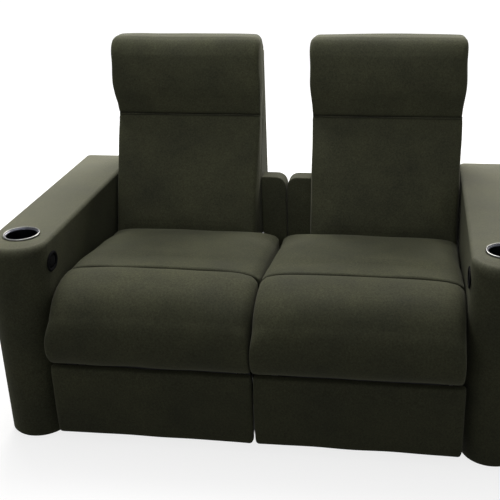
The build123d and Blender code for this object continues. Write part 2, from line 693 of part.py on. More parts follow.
def back_brackets():
    """Two pivot arms joined by a strap under the back frame's bottom rail."""
    rail_low = up_back(-FRAME_BELOW, FRAME_FRONT)
    rail_rear = up_back(-FRAME_BELOW, FRAME_REAR)
    strap = closed(
        [
            rail_low,
            rail_rear,
            up_back(-FRAME_BELOW - BRACKET_THICK, FRAME_REAR),
            up_back(-FRAME_BELOW - BRACKET_THICK, FRAME_FRONT),
        ]
    )
    body = prism(strap, BACK_INNER + BRACKET_INSET, BACK_OUTER - BRACKET_INSET)
    root = up_back(-FRAME_BELOW - LUG_RADIUS, (FRAME_FRONT + FRAME_REAR) / 2)
    for low in (BACK_INNER + BRACKET_INSET, BACK_OUTER - BRACKET_INSET - BRACKET_STRAP):
        high = low + BRACKET_STRAP
        arm = link([BACK_PIVOT, root], LUG_RADIUS, low, high)
        above_front = up_back(0, FRAME_FRONT - LUG_RADIUS)
        above_rear = up_back(0, FRAME_REAR + LUG_RADIUS)
        body += arm - prism(closed([rail_low, above_front, above_rear, rail_rear]), low, high)
    return body - bar(BACK_PIVOT, TUBE_RADIUS + RUN_CLEARANCE, BACK_INNER, BACK_OUTER)


# Footrest


def drive_links():
    """Both drive links on their torque tube."""
    body = bar(DRIVE_PIVOT, TORQUE_RADIUS, PLATE_INNER, PLATE_OUTER)
    for face, inward in sides():
        low, high = layer(face, inward, DRIVE_LAYER)
        plate = link([DRIVE_PIVOT, DRIVE_END, ROD_LOW], LINK_RADIUS, low, high)
        plate -= pin_hole(DRIVE_END, face, inward, DRIVE_LAYER)
        body += plate + pin(ROD_LOW, face, inward, DRIVE_LAYER, ROD_LAYER)
    return body


def long_links():
    """Both long links, tied by a bar half-way along."""
    half_way = shift(DRIVE_END, (LONG_REACH[0] / 2, LONG_REACH[1] / 2))
    faces = [layer(face, inward, LONG_LAYER) for face, inward in sides()]
    body = bar(half_way, LONG_BAR_RADIUS, faces[0][0], faces[1][1])
    for face, inward in sides():
        low, high = layer(face, inward, LONG_LAYER)
        body += link([FOLLOW_END, DRIVE_END, FOOT_PIVOT], LINK_RADIUS, low, high)
        for point in (DRIVE_END, FOOT_PIVOT):
            body += pin(point, face, inward, LONG_LAYER, DRIVE_LAYER)
        body += pin(FOLLOW_END, face, inward, FOLLOWER_LAYER, LONG_LAYER)
    return body


def follower_links():
    links = []
    for face, inward in sides():
        low, high = layer(face, inward, FOLLOWER_LAYER)
        plate = link([FOLLOW_PIVOT, FOLLOW_END], LINK_RADIUS, low, high)
        plate -= pin_hole(FOLLOW_PIVOT, face, inward, FOLLOWER_LAYER)
        links.append(plate - pin_hole(FOLLOW_END, face, inward, FOLLOWER_LAYER))
    return Compound(children=links)


def control_rods():
    rods = []
    for face, inward in sides():
        low, high = layer(face, inward, ROD_LAYER)
        plate = link([ROD_LOW, ROD_HIGH], ROD_RADIUS, low, high)
        plate -= pin_hole(ROD_LOW, face, inward, ROD_LAYER)
        rods.append(plate - pin_hole(ROD_HIGH, face, inward, ROD_LAYER))
    return Compound(children=rods)


BOARD_FRONT = FOOT_FRONT + FOOT_PAD + TOUCH_GAP
BOARD_REAR = BOARD_FRONT + FOOT_BOARD


def footrest_brackets():
    """Two pivot brackets on a strap across the board's rear."""
    strap_rear = BOARD_REAR + FOOT_STRAP_THICK
    edges = [layer(face, inward, DRIVE_LAYER) for face, inward in sides()]
    strap_low = FOOT_PIVOT[1] - FOOT_STRAP / 2
    strap_high = strap_low + FOOT_STRAP
    body = block(edges[0][0], edges[1][1], BOARD_REAR, strap_rear, strap_low, strap_high)
    for face, inward in sides():
        low, high = layer(face, inward, DRIVE_LAYER)
        plate = link([FOOT_PIVOT, ROD_HIGH], LINK_RADIUS, low, high)
        plate += block(low, high, BOARD_REAR, FOOT_PIVOT[0], strap_low, FOOT_TOP - FOOT_BOARD_INSET)
        plate -= pin_hole(FOOT_PIVOT, face, inward, DRIVE_LAYER)
        body += plate + pin(ROD_HIGH, face, inward, DRIVE_LAYER, ROD_LAYER)
    return body


def footrest_board():
    return block(
        SOFT_INNER + FOOT_BOARD_INSET,
        SOFT_OUTER - FOOT_BOARD_INSET,
        BOARD_FRONT,
        BOARD_REAR,
        FOOT_BOTTOM + FOOT_BOARD_INSET,
        FOOT_TOP - FOOT_BOARD_INSET,
    )


def footrest_pad():
    sections = []
    rear = FOOT_FRONT + FOOT_PAD
    for x, share in across(SOFT_INNER, SEAT_LANE + FOOT_REACH, PAD_SHOULDER):
        draw = FOOT_PAD_DRAW * (1 - share)
        low = (FOOT_FRONT + FOOT_PAD_CROWN + draw, FOOT_BOTTOM + draw)
        middle = (FOOT_FRONT + draw, (FOOT_BOTTOM + FOOT_TOP) / 2)
        high = (FOOT_FRONT + FOOT_PAD_CROWN + draw, FOOT_TOP - draw)
        rear_high = (rear, FOOT_TOP - draw)
        rear_low = (rear, FOOT_BOTTOM + draw)
        path = [(low, middle, high), (high, rear_high), (rear_high, rear_low), (rear_low, low)]
        sections.append(profile(x, path))
    return loft(sections)


MODULE_PIECES = {
    "arm_frame": arm_frame,
    "arm_cover": arm_cover,
    "cup_holder": cup_holder,
    "release_bezel": release_bezel,
    "release_lever": release_lever,
    "inner_side_panel": inner_side_panel,
    "rear_post_cover": rear_post_cover,
    "front_stretcher": front_stretcher,
    "rear_base_panel": rear_base_panel,
    "inner_glide_track": lambda: track(PANEL_OUTER, PANEL_OUTER + TRACK_THICK),
    "outer_glide_track": lambda: track(SEAT_LANE, SEAT_LANE - TRACK_THICK),
    "floor_glides": floor_glides,
    "seat_chassis": seat_chassis,
    "seat_frame": seat_frame,
    "seat_webbing": seat_webbing,
    "seat_cushion": seat_cushion,
    "front_roll": front_roll,
    "back_frame": back_frame,
    "back_cover": back_cover,
    "back_brackets": back_brackets,
    "lumbar_pad": lumbar_pad,
    "head_pad": head_pad,
    "drive_links": drive_links,
    "long_links": long_links,
    "follower_links": follower_links,
    "control_rods": control_rods,
    "footrest_brackets": footrest_brackets,
    "footrest_board": footrest_board,
    "footrest_pad": footrest_pad,
}


def main():
    os.makedirs("parts", exist_ok=True)
    for name, make in MODULE_PIECES.items():
        piece = make()
        export_step(piece, f"parts/right_{name}.step")
        export_step(mirror(piece, about=Plane.YZ), f"parts/left_{name}.step")
    for name, from_front in (("front", BOLT_FRONT), ("rear", BOLT_REAR)):
        export_step(module_bolt(from_front), f"parts/module_bolt_{name}.step")


main()
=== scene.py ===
"""Reclining sofa: upholstery, trim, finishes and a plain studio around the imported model.

Everything is in metres in the model's own frame: the front of the sofa looks towards -Y.
Side-view points are (distance behind the arms' front, height). Each soft piece is made for
the right seat and mirrored for the left one.
"""

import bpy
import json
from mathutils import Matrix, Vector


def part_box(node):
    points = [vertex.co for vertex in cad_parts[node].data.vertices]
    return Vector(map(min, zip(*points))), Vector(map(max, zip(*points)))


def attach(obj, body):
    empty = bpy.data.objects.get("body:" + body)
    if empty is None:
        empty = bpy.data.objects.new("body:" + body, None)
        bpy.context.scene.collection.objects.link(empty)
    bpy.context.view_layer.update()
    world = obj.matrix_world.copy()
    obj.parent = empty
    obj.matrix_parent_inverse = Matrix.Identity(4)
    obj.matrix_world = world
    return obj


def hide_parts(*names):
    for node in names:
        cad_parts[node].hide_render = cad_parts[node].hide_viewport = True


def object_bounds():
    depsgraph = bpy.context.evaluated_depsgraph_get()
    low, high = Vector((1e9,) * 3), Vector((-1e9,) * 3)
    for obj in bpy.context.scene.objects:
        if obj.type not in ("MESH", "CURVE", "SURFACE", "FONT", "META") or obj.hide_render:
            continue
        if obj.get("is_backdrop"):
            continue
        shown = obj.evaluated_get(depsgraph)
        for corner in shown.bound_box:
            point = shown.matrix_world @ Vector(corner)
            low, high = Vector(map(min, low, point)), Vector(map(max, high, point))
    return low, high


bl_info = {
    "name": "Reclining sofa",
    "version": (1, 0, 0),
    "blender": (4, 5, 0),
    "location": "View3D > Sidebar > Sofa",
    "description": "Upholstery, trim, finishes and studio of a two-seat reclining sofa",
    "category": "Object",
}

import json

import bpy
import numpy as np
from mathutils import Matrix, Vector

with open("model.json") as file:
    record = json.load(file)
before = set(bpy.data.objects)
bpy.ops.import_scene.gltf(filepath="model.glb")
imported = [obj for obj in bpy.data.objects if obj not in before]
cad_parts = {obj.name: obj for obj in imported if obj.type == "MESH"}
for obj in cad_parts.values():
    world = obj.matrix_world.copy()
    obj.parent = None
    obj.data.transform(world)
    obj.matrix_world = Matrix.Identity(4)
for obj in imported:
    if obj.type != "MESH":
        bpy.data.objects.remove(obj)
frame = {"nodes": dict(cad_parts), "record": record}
CAD_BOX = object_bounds()

ARM_LOW, ARM_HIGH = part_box("right_arm_cover")
FRONT_Y = ARM_LOW.y
SEAT_LANE = ARM_LOW.x
ARM_WIDTH = ARM_HIGH.x - ARM_LOW.x
ARM_DEPTH = ARM_HIGH.y - ARM_LOW.y
SEAT_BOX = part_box("right_seat_cushion")
ROLL_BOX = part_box("right_front_roll")
PAD_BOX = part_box("right_lumbar_pad")
FOOT_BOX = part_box("right_footrest_pad")
POST_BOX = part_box("right_rear_post_cover")
PANEL_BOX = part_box("right_rear_base_panel")
BEZEL_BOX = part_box("right_release_bezel")
CUP_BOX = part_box("right_cup_holder")

# Side-view points of the seat and the back
SEAM = (0.185, 0.504)
SEAT_MIDDLE = (0.400, 0.486)
SEAT_REAR_Z = 0.448
SEAT_FLOOR_Z = 0.379
SEAT_BACK_GAP = 0.007
ROLL_CROWN = (0.095, 0.499)
ROLL_BROW = (-0.008, 0.428)
ROLL_NOSE = (-0.042, 0.348)
ROLL_FOOT = (0.004, 0.268)
ROLL_HEEL = (0.062, 0.268)
BACK_FOOT = (0.630, 0.440)
BACK_SEAM = (0.785, 0.809)
LEAN = np.arctan2(BACK_SEAM[0] - BACK_FOOT[0], BACK_SEAM[1] - BACK_FOOT[1])
BACK_LENGTH = np.hypot(BACK_SEAM[0] - BACK_FOOT[0], BACK_SEAM[1] - BACK_FOOT[1])
PAD_BELOW = 0.030
PAD_THICK = 0.056
PAD_CROWN = 0.009
SHELL_BELOW = 0.050
SHELL_BEND = 0.430
SHELL_BACK = 0.102
BACK_TAIL = (0.908, 0.480)
SHELL_FOOT = 0.053
HEAD_LOW = (0.757, 0.905)
HEAD_BULGE = (0.755, 1.015)
HEAD_BROW = (0.778, 1.055)
HEAD_TOP = (0.830, 1.069)
HEAD_NAPE = (0.878, 1.058)
HEAD_REST = (0.856, 1.008)
HEAD_REAR = 0.901
SEAM_GAP = 0.0008
MIDDLE_CLEAR = 0.0006  # from the middle plane to the soft pieces on each side of it
ARM_CLEAR = 0.0015  # from an arm to the soft pieces beside it
BACK_CLEAR = 0.003  # how far a head pad's cover may pass the side of its frame
POST_CLEAR = 0.0008  # how far a lumbar pad's cover may do so beside the posts
CREASE_CLEAR = 0.002  # how far a roll's cover may come down over the footrest
GIVE = 0.0008  # how softly a cover flattens against what it meets
SEAM_HOLD = 0.13  # from the sewn seam to where a seat's cover swells in full
CREASE_HOLD = 0.07  # the same beside the crease under a head pad
SEAM_DIP = 0.0045  # how deep the sewn seam draws the cover in
SEAM_REACH = 0.006  # half the width of that dip
FOOT_RISE = 0.005  # how far a footrest's cover stands above its board
SEAM_SOFTEN = 0.0022  # rounding of a cover's edge at a seam
SEAM_SHADE_REACH = 0.005  # how far painted shade reaches on each side of a seam, where the pile also parts over its dark ground
WELT_HALF = 0.007  # half the height of the sewn welt in the crease under a head pad
WELT_SET = 0.006  # how far that welt lies behind the back's front
HEAD_FLARE = 0.008  # how far a head pad stands out to each side at its front
FLARE_RISE = 0.12  # height above the crease where it does so in full
FLARE_DEPTH = (0.79, 0.07)  # where the flare starts to fade towards the rear, and over what
POST_PROUD = 0.0036  # padding of a post towards the back beside it
POST_CORNER = 0.034  # rounding of a post's top beside the middle
POST_EDGE = 0.005  # rounding of its other edges
SEAT_HELD = 0.415  # height below which a seat's cover is fixed to its frame
ROLL_HELD = (0.015, 0.40)  # the same for a roll: how far before its heel, and below what height
PAD_HELD = (0.030, 0.012)  # depth from which a lumbar pad's cover is fixed, and over what it sets in
HEAD_HELD = (0.012, 0.015)  # height over the rest to which a head pad's is, and over what it sets in
HOLD_FADE = 0.02  # over what the other holds set in
ROLL_SQUARE = (0.85, 0.20)  # how square a roll's ends are at its foot, and up to what height
HEAD_SQUARE = (0.5, 0.10)  # the same for a head pad from its lower front up
SHELL_EDGE = 0.004  # rounding of a back shell's rear edges
FOOT_BOW = 0.004  # how far a footrest's front bows out, and the rounding of its long edges
FOOT_CORNER = 0.010  # rounding of its lower corners
FOOT_EDGE = 0.005  # rounding of its sides
FOOT_HELD = (0.012, 0.006)  # depth before its rear from which its cover is fixed, and over what
FOOT_CLEAR = 0.002  # how far its cover may pass its board
PANEL_PROUD = 0.003  # cloth on the rear panels, and the rounding of their long edges
PANEL_EDGE = 0.005  # rounding of their ends
CROWN_SHARE = 0.16  # share of a seat's side drop that is a slow crown
SHARP_REACH = (0.012, 0.032)  # from a seam, where a cover's edge starts to be rounded, and is in full
RUN_POINTS = 48  # points of a line or an arc, before a loop's points are spaced evenly
CAP_ROWS, BEND_ROWS = 10, 9  # rows of a padded bar's flat end and of its rounded edge
SWELL_FRAMES = 20
EVEN_ROUNDS = 50  # smoothing of what the swelling moves
SEEDS = {"left": 11, "right": 29}  # for the unevenness of each side's covers


# Settings


def metres(name, description, default):
    """A length."""
    kind = {"subtype": "DISTANCE", "unit": "LENGTH"}
    return bpy.props.FloatProperty(name=name, description=description, default=default, **kind)


def fraction(name, description, default):
    """A share from 0 to 1."""
    kind = {"subtype": "FACTOR", "min": 0, "max": 1}
    return bpy.props.FloatProperty(name=name, description=description, default=default, **kind)


def amount(name, description, default, **kind):
    """A strength of 0 or more."""
    return bpy.props.FloatProperty(name=name, description=description, default=default, min=0, **kind)


def tint(name, description, default):
    """A linear colour."""
    kind = {"subtype": "COLOR"}
    return bpy.props.FloatVectorProperty(name=name, description=description, default=default, **kind)


class SofaClothSettings(bpy.types.PropertyGroup):
    """Upholstery: colours, pile and filling."""

    dark: tint("Dark pile", "Colour where the pile lies away from the light", (0.034, 0.0355, 0.0225))
    light: tint("Light pile", "Colour where the pile lies towards the light", (0.056, 0.0575, 0.034))
    sheen: fraction("Sheen", "Strength of the pile's sheen", 0.06)
    arm_sheen: fraction("Arm sheen", "Strength of the pile's sheen on the arms' tops", 0.42)
    step: metres("Mesh step", "Spacing of the cloth's mesh", 0.006)
    pressure: amount("Filling", "Pressure of the filling under the cover", 4.0)
    seat_swell: metres("Seat swell", "Most that a seat's cover moves out", 0.008)
    pad_swell: metres("Pad swell", "Most that a back or foot pad's cover moves out", 0.008)
    lift: metres("Unevenness", "Height of the slow unevenness of a stuffed cover", 0.0012)
    wave: metres("Unevenness length", "Length of the waves of the slow unevenness", 0.16)


class SofaFormSettings(bpy.types.PropertyGroup):
    """Forms of the padded pieces."""

    corner_drop: metres("Corner drop", "How far a seat comes down at its sides", 0.024)
    seat_edge: metres("Seat edge", "Rounding at a seat's sides", 0.022)
    pad_edge: metres("Pad edge", "Rounding at a pad's sides", 0.011)
    head_edge: metres("Head edge", "Rounding at a head pad's upper corners", 0.018)
    arm_edge: metres("Arm edge", "Rounding along an arm's top", 0.012)
    arm_front_edge: metres("Arm front edge", "Rounding at an arm's front end", 0.034)
    arm_crown: metres("Arm crown", "Rise of an arm's top to its middle", 0.004)


class SofaStageSettings(bpy.types.PropertyGroup):
    """Studio: floor, lights and camera."""

    floor: tint("Floor", "Floor colour", (0.18, 0.18, 0.177))
    ceiling: amount("Ceiling light", "Watts of the large lamp overhead", 60.0)
    window: amount("Window light", "Watts of the wide lamp behind", 250.0)
    front: amount("Front light", "Watts of the weak lamp in front", 1.9)
    ambient: amount("Ambient", "Light from all round", 0.25)
    focal: amount("Focal length", "Lens, in pixels of a 500 wide image", 875.2, subtype="PIXEL")


# Curves and surfaces


def behind(point):
    """Model Y of a side-view distance."""
    return FRONT_Y + point


def up_back(along, depth):
    """Side-view point: along the back's front plane from its foot, and behind that plane."""
    return (
        BACK_FOOT[0] + along * np.sin(LEAN) + depth * np.cos(LEAN),
        BACK_FOOT[1] + along * np.cos(LEAN) - depth * np.sin(LEAN),
    )


def arc_points(a, b, c):
    """Points on the circle through a, b and c, from a past b to c: the circle's centre is where
    the perpendicular bisectors of ab and bc cross, and the angle runs evenly."""
    a, b, c = (np.array(p, float) for p in (a, b, c))
    rows = 2 * np.array([b - a, c - b])
    centre = np.linalg.solve(rows, np.array([b @ b - a @ a, c @ c - b @ b]))
    angles = [np.arctan2(*(p - centre)[::-1]) for p in (a, b, c)]
    full = 2 * np.pi
    turn = (angles[2] - angles[0]) % full
    if (angles[1] - angles[0]) % full > turn:
        turn -= full
    run = angles[0] + turn * np.linspace(0, 1, RUN_POINTS)
    radius = np.hypot(*(a - centre))
    return centre + radius * np.column_stack([np.cos(run), np.sin(run)])


def even_loop(points, count):
    """A closed loop's points set evenly along its length."""
    loop = np.vstack([points, points[:1]])
    steps = np.hypot(*np.diff(loop, axis=0).T)
    keep = np.append(True, steps > 1e-9)
    loop = loop[keep]
    length = np.append(0, np.cumsum(steps[keep[1:]]))
    at = np.linspace(0, length[-1], count, endpoint=False)
    return np.column_stack([np.interp(at, length, loop[:, k]) for k in (0, 1)]), length[-1]


def closed_curve(stretches, soften, count):
    """Closed side-view curve through lines (two points) and arcs (three points), evenly spaced,
    with every corner rounded by a circular Gaussian blur that reaches about soften along it."""
    parts = [arc_points(*s) if len(s) == 3 else np.linspace(*s, RUN_POINTS) for s in stretches]
    loop, length = even_loop(np.vstack(parts), count)
    waves = np.fft.fftfreq(count, 1 / count)
    fade = np.exp(-0.5 * (2 * np.pi * waves * soften / length) ** 2)
    return np.column_stack([np.fft.ifft(np.fft.fft(loop[:, k]) * fade).real for k in (0, 1)])


def polygon(*points):
    """Straight stretches from point to point and back to the first."""
    return list(zip(points, points[1:] + points[:1]))


def outward(loop):
    """Outward unit normals of a closed loop, from the chord between each point's neighbours."""
    chord = np.roll(loop, -1, 0) - np.roll(loop, 1, 0)
    normal = np.column_stack([chord[:, 1], -chord[:, 0]]) / np.hypot(*chord.T)[:, None]
    area = np.sum(loop[:, 0] * np.roll(loop[:, 1], -1) - loop[:, 1] * np.roll(loop[:, 0], -1))
    return normal if area > 0 else -normal


def end_stations(low, high, edge, puff=0.002, middles=56):
    """Stations along a padded bar: flat end, quarter-round edge, straight run, and the same back.
    Gives each station's place, how far its section is drawn in, and its share of the full size."""
    share = np.linspace(0.06, 1, CAP_ROWS, endpoint=False)
    bend = np.linspace(0, np.pi / 2, BEND_ROWS)
    place = np.concatenate([low - puff * (1 - share**2), low + edge * (1 - np.cos(bend))])
    inset = np.concatenate([np.full(CAP_ROWS, edge), edge * (1 - np.sin(bend))])
    shares = np.concatenate([share, np.ones(BEND_ROWS)])
    run = np.linspace(low + edge, high - edge, middles)[1:-1]
    places = np.concatenate([place, run, low + high - place[::-1]])
    insets = np.concatenate([inset, np.zeros(len(run)), inset[::-1]])
    return places, insets, np.concatenate([shares, np.ones(len(run)), shares[::-1]])


def rise(value, over):
    """Share from 0 to 1 as a value goes from 0 to over."""
    return np.clip(value / over, 0, 1)


def away_from(points, path):
    """Share for each side-view point by its distance from a path of straight runs: 0 up to the near
    reach, 1 from the far one. The distance is the least over the runs, each to its nearest point."""
    near, far = SHARP_REACH
    path = np.array(path)
    start, run = path[:-1], np.diff(path, axis=0)
    offset = points[:, None] - start
    at = np.clip((offset * run).sum(2) / (run**2).sum(1), 0, 1)
    gap = np.linalg.norm(offset - at[..., None] * run, axis=2).min(1)
    return rise(gap - near, far - near)


def bar_grid(loop, stations, shape=None, edge_share=1.0):
    """Grid of a closed section carried along a straight path. Each ring is the loop, reshaped by
    shape(place, loop) where given, drawn in along its normals by the station's inset times
    edge_share (one number, or one for each point of the loop), and scaled about its middle."""
    places, insets, shares = stations
    rings = np.repeat(loop[None], len(places), 0)
    if shape:
        rings = shape(places[:, None], rings)
    rings = rings - insets[:, None, None] * (outward(loop) * np.reshape(edge_share, (-1, 1)))[None]
    middle = rings.mean(1, keepdims=True)
    rings = middle + shares[:, None, None] * (rings - middle)
    along = np.broadcast_to(places[:, None, None], rings.shape[:2] + (1,))
    return np.concatenate([along, rings], 2)


def smooth_faces(mesh):
    """Shades all faces smoothly."""
    mesh.polygons.foreach_set("use_smooth", np.ones(len(mesh.polygons), bool))


def grid_mesh(name, grid, close_ends=True):
    """Mesh of a grid whose second direction is a closed ring, with a point at the middle of each
    open end. Faces are turned outwards by the sign of the mesh's volume."""
    rows, ring = grid.shape[:2]
    index = np.arange(rows * ring).reshape(rows, ring)
    near, far = index[:-1], index[1:]
    quads = np.stack([near, np.roll(near, -1, 1), np.roll(far, -1, 1), far], -1).reshape(-1, 4)
    points = grid.reshape(-1, 3)
    faces = [quads[:, [0, 1, 2]], quads[:, [0, 2, 3]]]
    fans = []
    if close_ends:
        points = np.vstack([points, grid[0].mean(0), grid[-1].mean(0)])
        first, last = rows * ring, rows * ring + 1
        fans = [
            np.column_stack([np.roll(index[0], -1), index[0], np.full(ring, first)]),
            np.column_stack([index[-1], np.roll(index[-1], -1), np.full(ring, last)]),
        ]
    corners = np.vstack(faces + fans)
    a, b, c = (points[corners[:, k]] for k in range(3))
    flip = np.einsum("ij,ij->", a, np.cross(b, c)) < 0
    quads = quads[:, ::-1] if flip else quads
    fans = [f[:, ::-1] if flip else f for f in fans]
    mesh = bpy.data.meshes.new(name)
    mesh.from_pydata(points.tolist(), [], quads.tolist() + [row for f in fans for row in f.tolist()])
    smooth_faces(mesh)
    mesh.update()
    return mesh


def add_piece(name, mesh):
    """New object in the scene, at the origin."""
    piece = bpy.data.objects.new(name, mesh)
    bpy.context.scene.collection.objects.link(piece)
    return piece


def get_points(mesh):
    """Places of a mesh's points, as rows."""
    points = np.empty(len(mesh.vertices) * 3, np.float32)
    mesh.vertices.foreach_get("co", points)
    return points.reshape(-1, 3)


def set_points(mesh, points):
    """Moves a mesh's points to new places."""
    mesh.vertices.foreach_set("co", np.asarray(points, np.float32).ravel())
    mesh.update()


def mirrored(mesh, name):
    """Copy of a mesh mirrored in the sofa's middle plane, with its faces turned back outwards."""
    twin = mesh.copy()
    twin.name = name
    set_points(twin, get_points(mesh) * np.array([-1, 1, 1]))
    twin.flip_normals()
    return twin


def remeshed(piece, step):
    """Replaces a piece's mesh by an even one of small squares."""
    modifier = piece.modifiers.new("Even mesh", "REMESH")
    modifier.mode = "VOXEL"
    modifier.voxel_size = step
    graph = bpy.context.evaluated_depsgraph_get()
    mesh = bpy.data.meshes.new_from_object(piece.evaluated_get(graph))
    piece.modifiers.clear()
    piece.data = mesh


def swell(piece, cap, held, step, pressure):
    """Swells a cover over its filling: an even mesh is blown up from inside for twenty frames with
    no gravity, points where held(points) is 1 stay, and no point moves further than cap."""
    remeshed(piece, step)
    mesh = piece.data
    rest = get_points(mesh).copy()
    grip = held(rest)
    group = piece.vertex_groups.new(name="held")
    for level in np.unique(np.round(grip, 1)):
        group.add(np.flatnonzero(np.round(grip, 1) == level).tolist(), float(level), "REPLACE")
    cloth = piece.modifiers.new("Cover", "CLOTH")
    cloth.settings.use_pressure = True
    cloth.settings.uniform_pressure_force = pressure
    cloth.settings.effector_weights.gravity = 0
    cloth.settings.vertex_group_mass = "held"
    scene = bpy.context.scene
    for moment in range(1, SWELL_FRAMES + 1):
        scene.frame_set(moment)
    graph = bpy.context.evaluated_depsgraph_get()
    moved = get_points(piece.evaluated_get(graph).data) - rest
    piece.modifiers.clear()
    piece.vertex_groups.clear()
    reach = np.linalg.norm(moved, axis=1, keepdims=True)
    moved *= cap * np.tanh(reach / cap) / np.maximum(reach, 1e-9)
    moved = evened(moved, mesh, EVEN_ROUNDS) * (1 - grip[:, None])
    set_points(mesh, rest + moved)
    scene.frame_set(1)


def evened(values, mesh, rounds):
    """Vectors at a mesh's points, moved halfway to the mean of their neighbours' in each round."""
    ends = np.empty(len(mesh.edges) * 2, np.int32)
    mesh.edges.foreach_get("vertices", ends)
    ends = ends.reshape(-1, 2)
    start, stop = np.concatenate([ends, ends[:, ::-1]]).T
    count = np.bincount(start, minlength=len(values))
    for _ in range(rounds):
        sums = [np.bincount(start, values[stop, k], minlength=len(values)) for k in range(3)]
        values = (values + np.stack(sums, 1) / count[:, None]) / 2
    return values


def kept_inside(points, walls):
    """Points kept behind walls, each a unit normal and how far along it the wall stands: a clearance
    c becomes give times ln(1 + exp(c / give)), so a cover flattens softly where it meets a wall."""
    for normal, reach in walls:
        normal = np.array(normal)
        clear = reach - points @ normal
        points = points + np.outer(clear - GIVE * np.logaddexp(0, clear / GIVE), normal)
    return points


def side_walls(low, high):
    """Walls on both sides of a piece, at two places across the sofa."""
    return [((-1.0, 0.0, 0.0), -low), ((1.0, 0.0, 0.0), high)]


def back_wall(clear):
    """Wall at a distance in front of the back's front plane, facing backwards."""
    normal = (0.0, np.cos(LEAN), -np.sin(LEAN))
    return normal, normal[1] * behind(BACK_FOOT[0]) + normal[2] * BACK_FOOT[1] - clear


def ease(points, seed, height, wave):
    """Slow rise and fall of a stuffed surface: a sum of eight plane waves with drawn directions."""
    draw = np.random.default_rng(seed)
    ways = draw.normal(size=(8, 3))
    ways *= 2 * np.pi / wave / np.linalg.norm(ways, axis=1, keepdims=True)
    return height * np.cos(points @ ways.T + draw.uniform(0, 2 * np.pi, 8)).sum(1, keepdims=True) / 4


def vertex_normals(mesh):
    """Normals at a mesh's points, as rows."""
    normals = np.empty(len(mesh.vertices) * 3, np.float32)
    mesh.vertex_normals.foreach_get("vector", normals)
    return normals.reshape(-1, 3)


def mark_seam(mesh, away):
    """Marks painted shade beside a seam, where the pile also parts: an attribute that is 1 on it and
    fades as a bell curve.
    """
    line = mesh.attributes.new("seam", "FLOAT", "POINT")
    line.data.foreach_set("value", np.exp(-((away / SEAM_SHADE_REACH) ** 2)))


def padded_pair(name, node, body, grid, cap, held, walls, fill, sewn=None, dip=None):
    """Right and left piece of a padded form, swelled once and mirrored, each with its own slow
    unevenness, and attached to its body in place of the model's hidden node. sewn gives the
    distance of points from a seam, and dip how far it draws them down."""
    cloth = bpy.context.scene.sofa_cloth
    right = add_piece("right_" + name, grid_mesh("right_" + name, grid))
    swell(right, cap, held, cloth.step, cloth.pressure)
    smooth_faces(right.data)
    left = add_piece("left_" + name, mirrored(right.data, "left_" + name))
    rest, normals = get_points(right.data).copy(), vertex_normals(right.data)
    for piece, side, sign in ((left, "left", -1), (right, "right", 1)):
        uneven = ease(rest, SEEDS[side] + len(name), cloth.lift, cloth.wave) * normals
        points = kept_inside(rest + uneven, walls)
        if dip:
            points[:, 2] -= dip(points)
        set_points(piece.data, points * np.array([sign, 1, 1]))
        # near a seam, or the crease under a head pad, the pile is painted with shade
        if sewn:
            mark_seam(piece.data, sewn(points))
        finer = piece.modifiers.new("Finer", "SUBSURF")
        finer.levels = finer.render_levels = 1
        piece.data.materials.clear()
        piece.data.materials.append(pile_cloth())
        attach(piece, f"{side}_{body}")
        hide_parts(f"{side}_{node}")
    return left, right


def rigid_pair(name, body, nodes, mesh, material):
    """Right and left piece of a form that keeps its shape."""
    right = add_piece("right_" + name, mesh)
    left = add_piece("left_" + name, mirrored(mesh, "left_" + name))
    for piece, side in ((left, "left"), (right, "right")):
        piece.data.materials.clear()
        piece.data.materials.append(material)
        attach(piece, body if body == "base" else f"{side}_{body}")
        if nodes:
            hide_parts(*[f"{side}_{node}" for node in nodes])
    return left, right


# Finishes


MIX_COLOURS = (6, 7)  # inputs of a mix node that take colours


class Wiring:
    """A node tree put together step by step."""

    def __init__(self, tree):
        self.nodes, self.links = tree.nodes, tree.links

    def fill(self, node, *values, **named):
        """Puts values into a node's inputs, in order or by name: outputs are linked, others set."""
        sockets = list(node.inputs[: len(values)])
        sockets += [node.inputs[name.replace("_", " ")] for name in named]
        for socket, value in zip(sockets, (*values, *named.values())):
            if isinstance(value, bpy.types.NodeSocket):
                self.links.new(value, socket)
            else:
                socket.default_value = value
        return node

    def node(self, kind, *values, **named):
        return self.fill(self.nodes.new("ShaderNode" + kind), *values, **named)

    def greater(self, first, second):
        node = self.node("Math", first, second)
        node.operation = "MAXIMUM"
        return node.outputs["Value"]

    def seen_directly(self):
        """1 for the camera's rays and for those that gloss or glass sends on, and 0 for others."""
        ray = self.node("LightPath").outputs
        sent_on = self.greater(ray["Is Glossy Ray"], ray["Is Transmission Ray"])
        return self.greater(ray["Is Camera Ray"], sent_on)


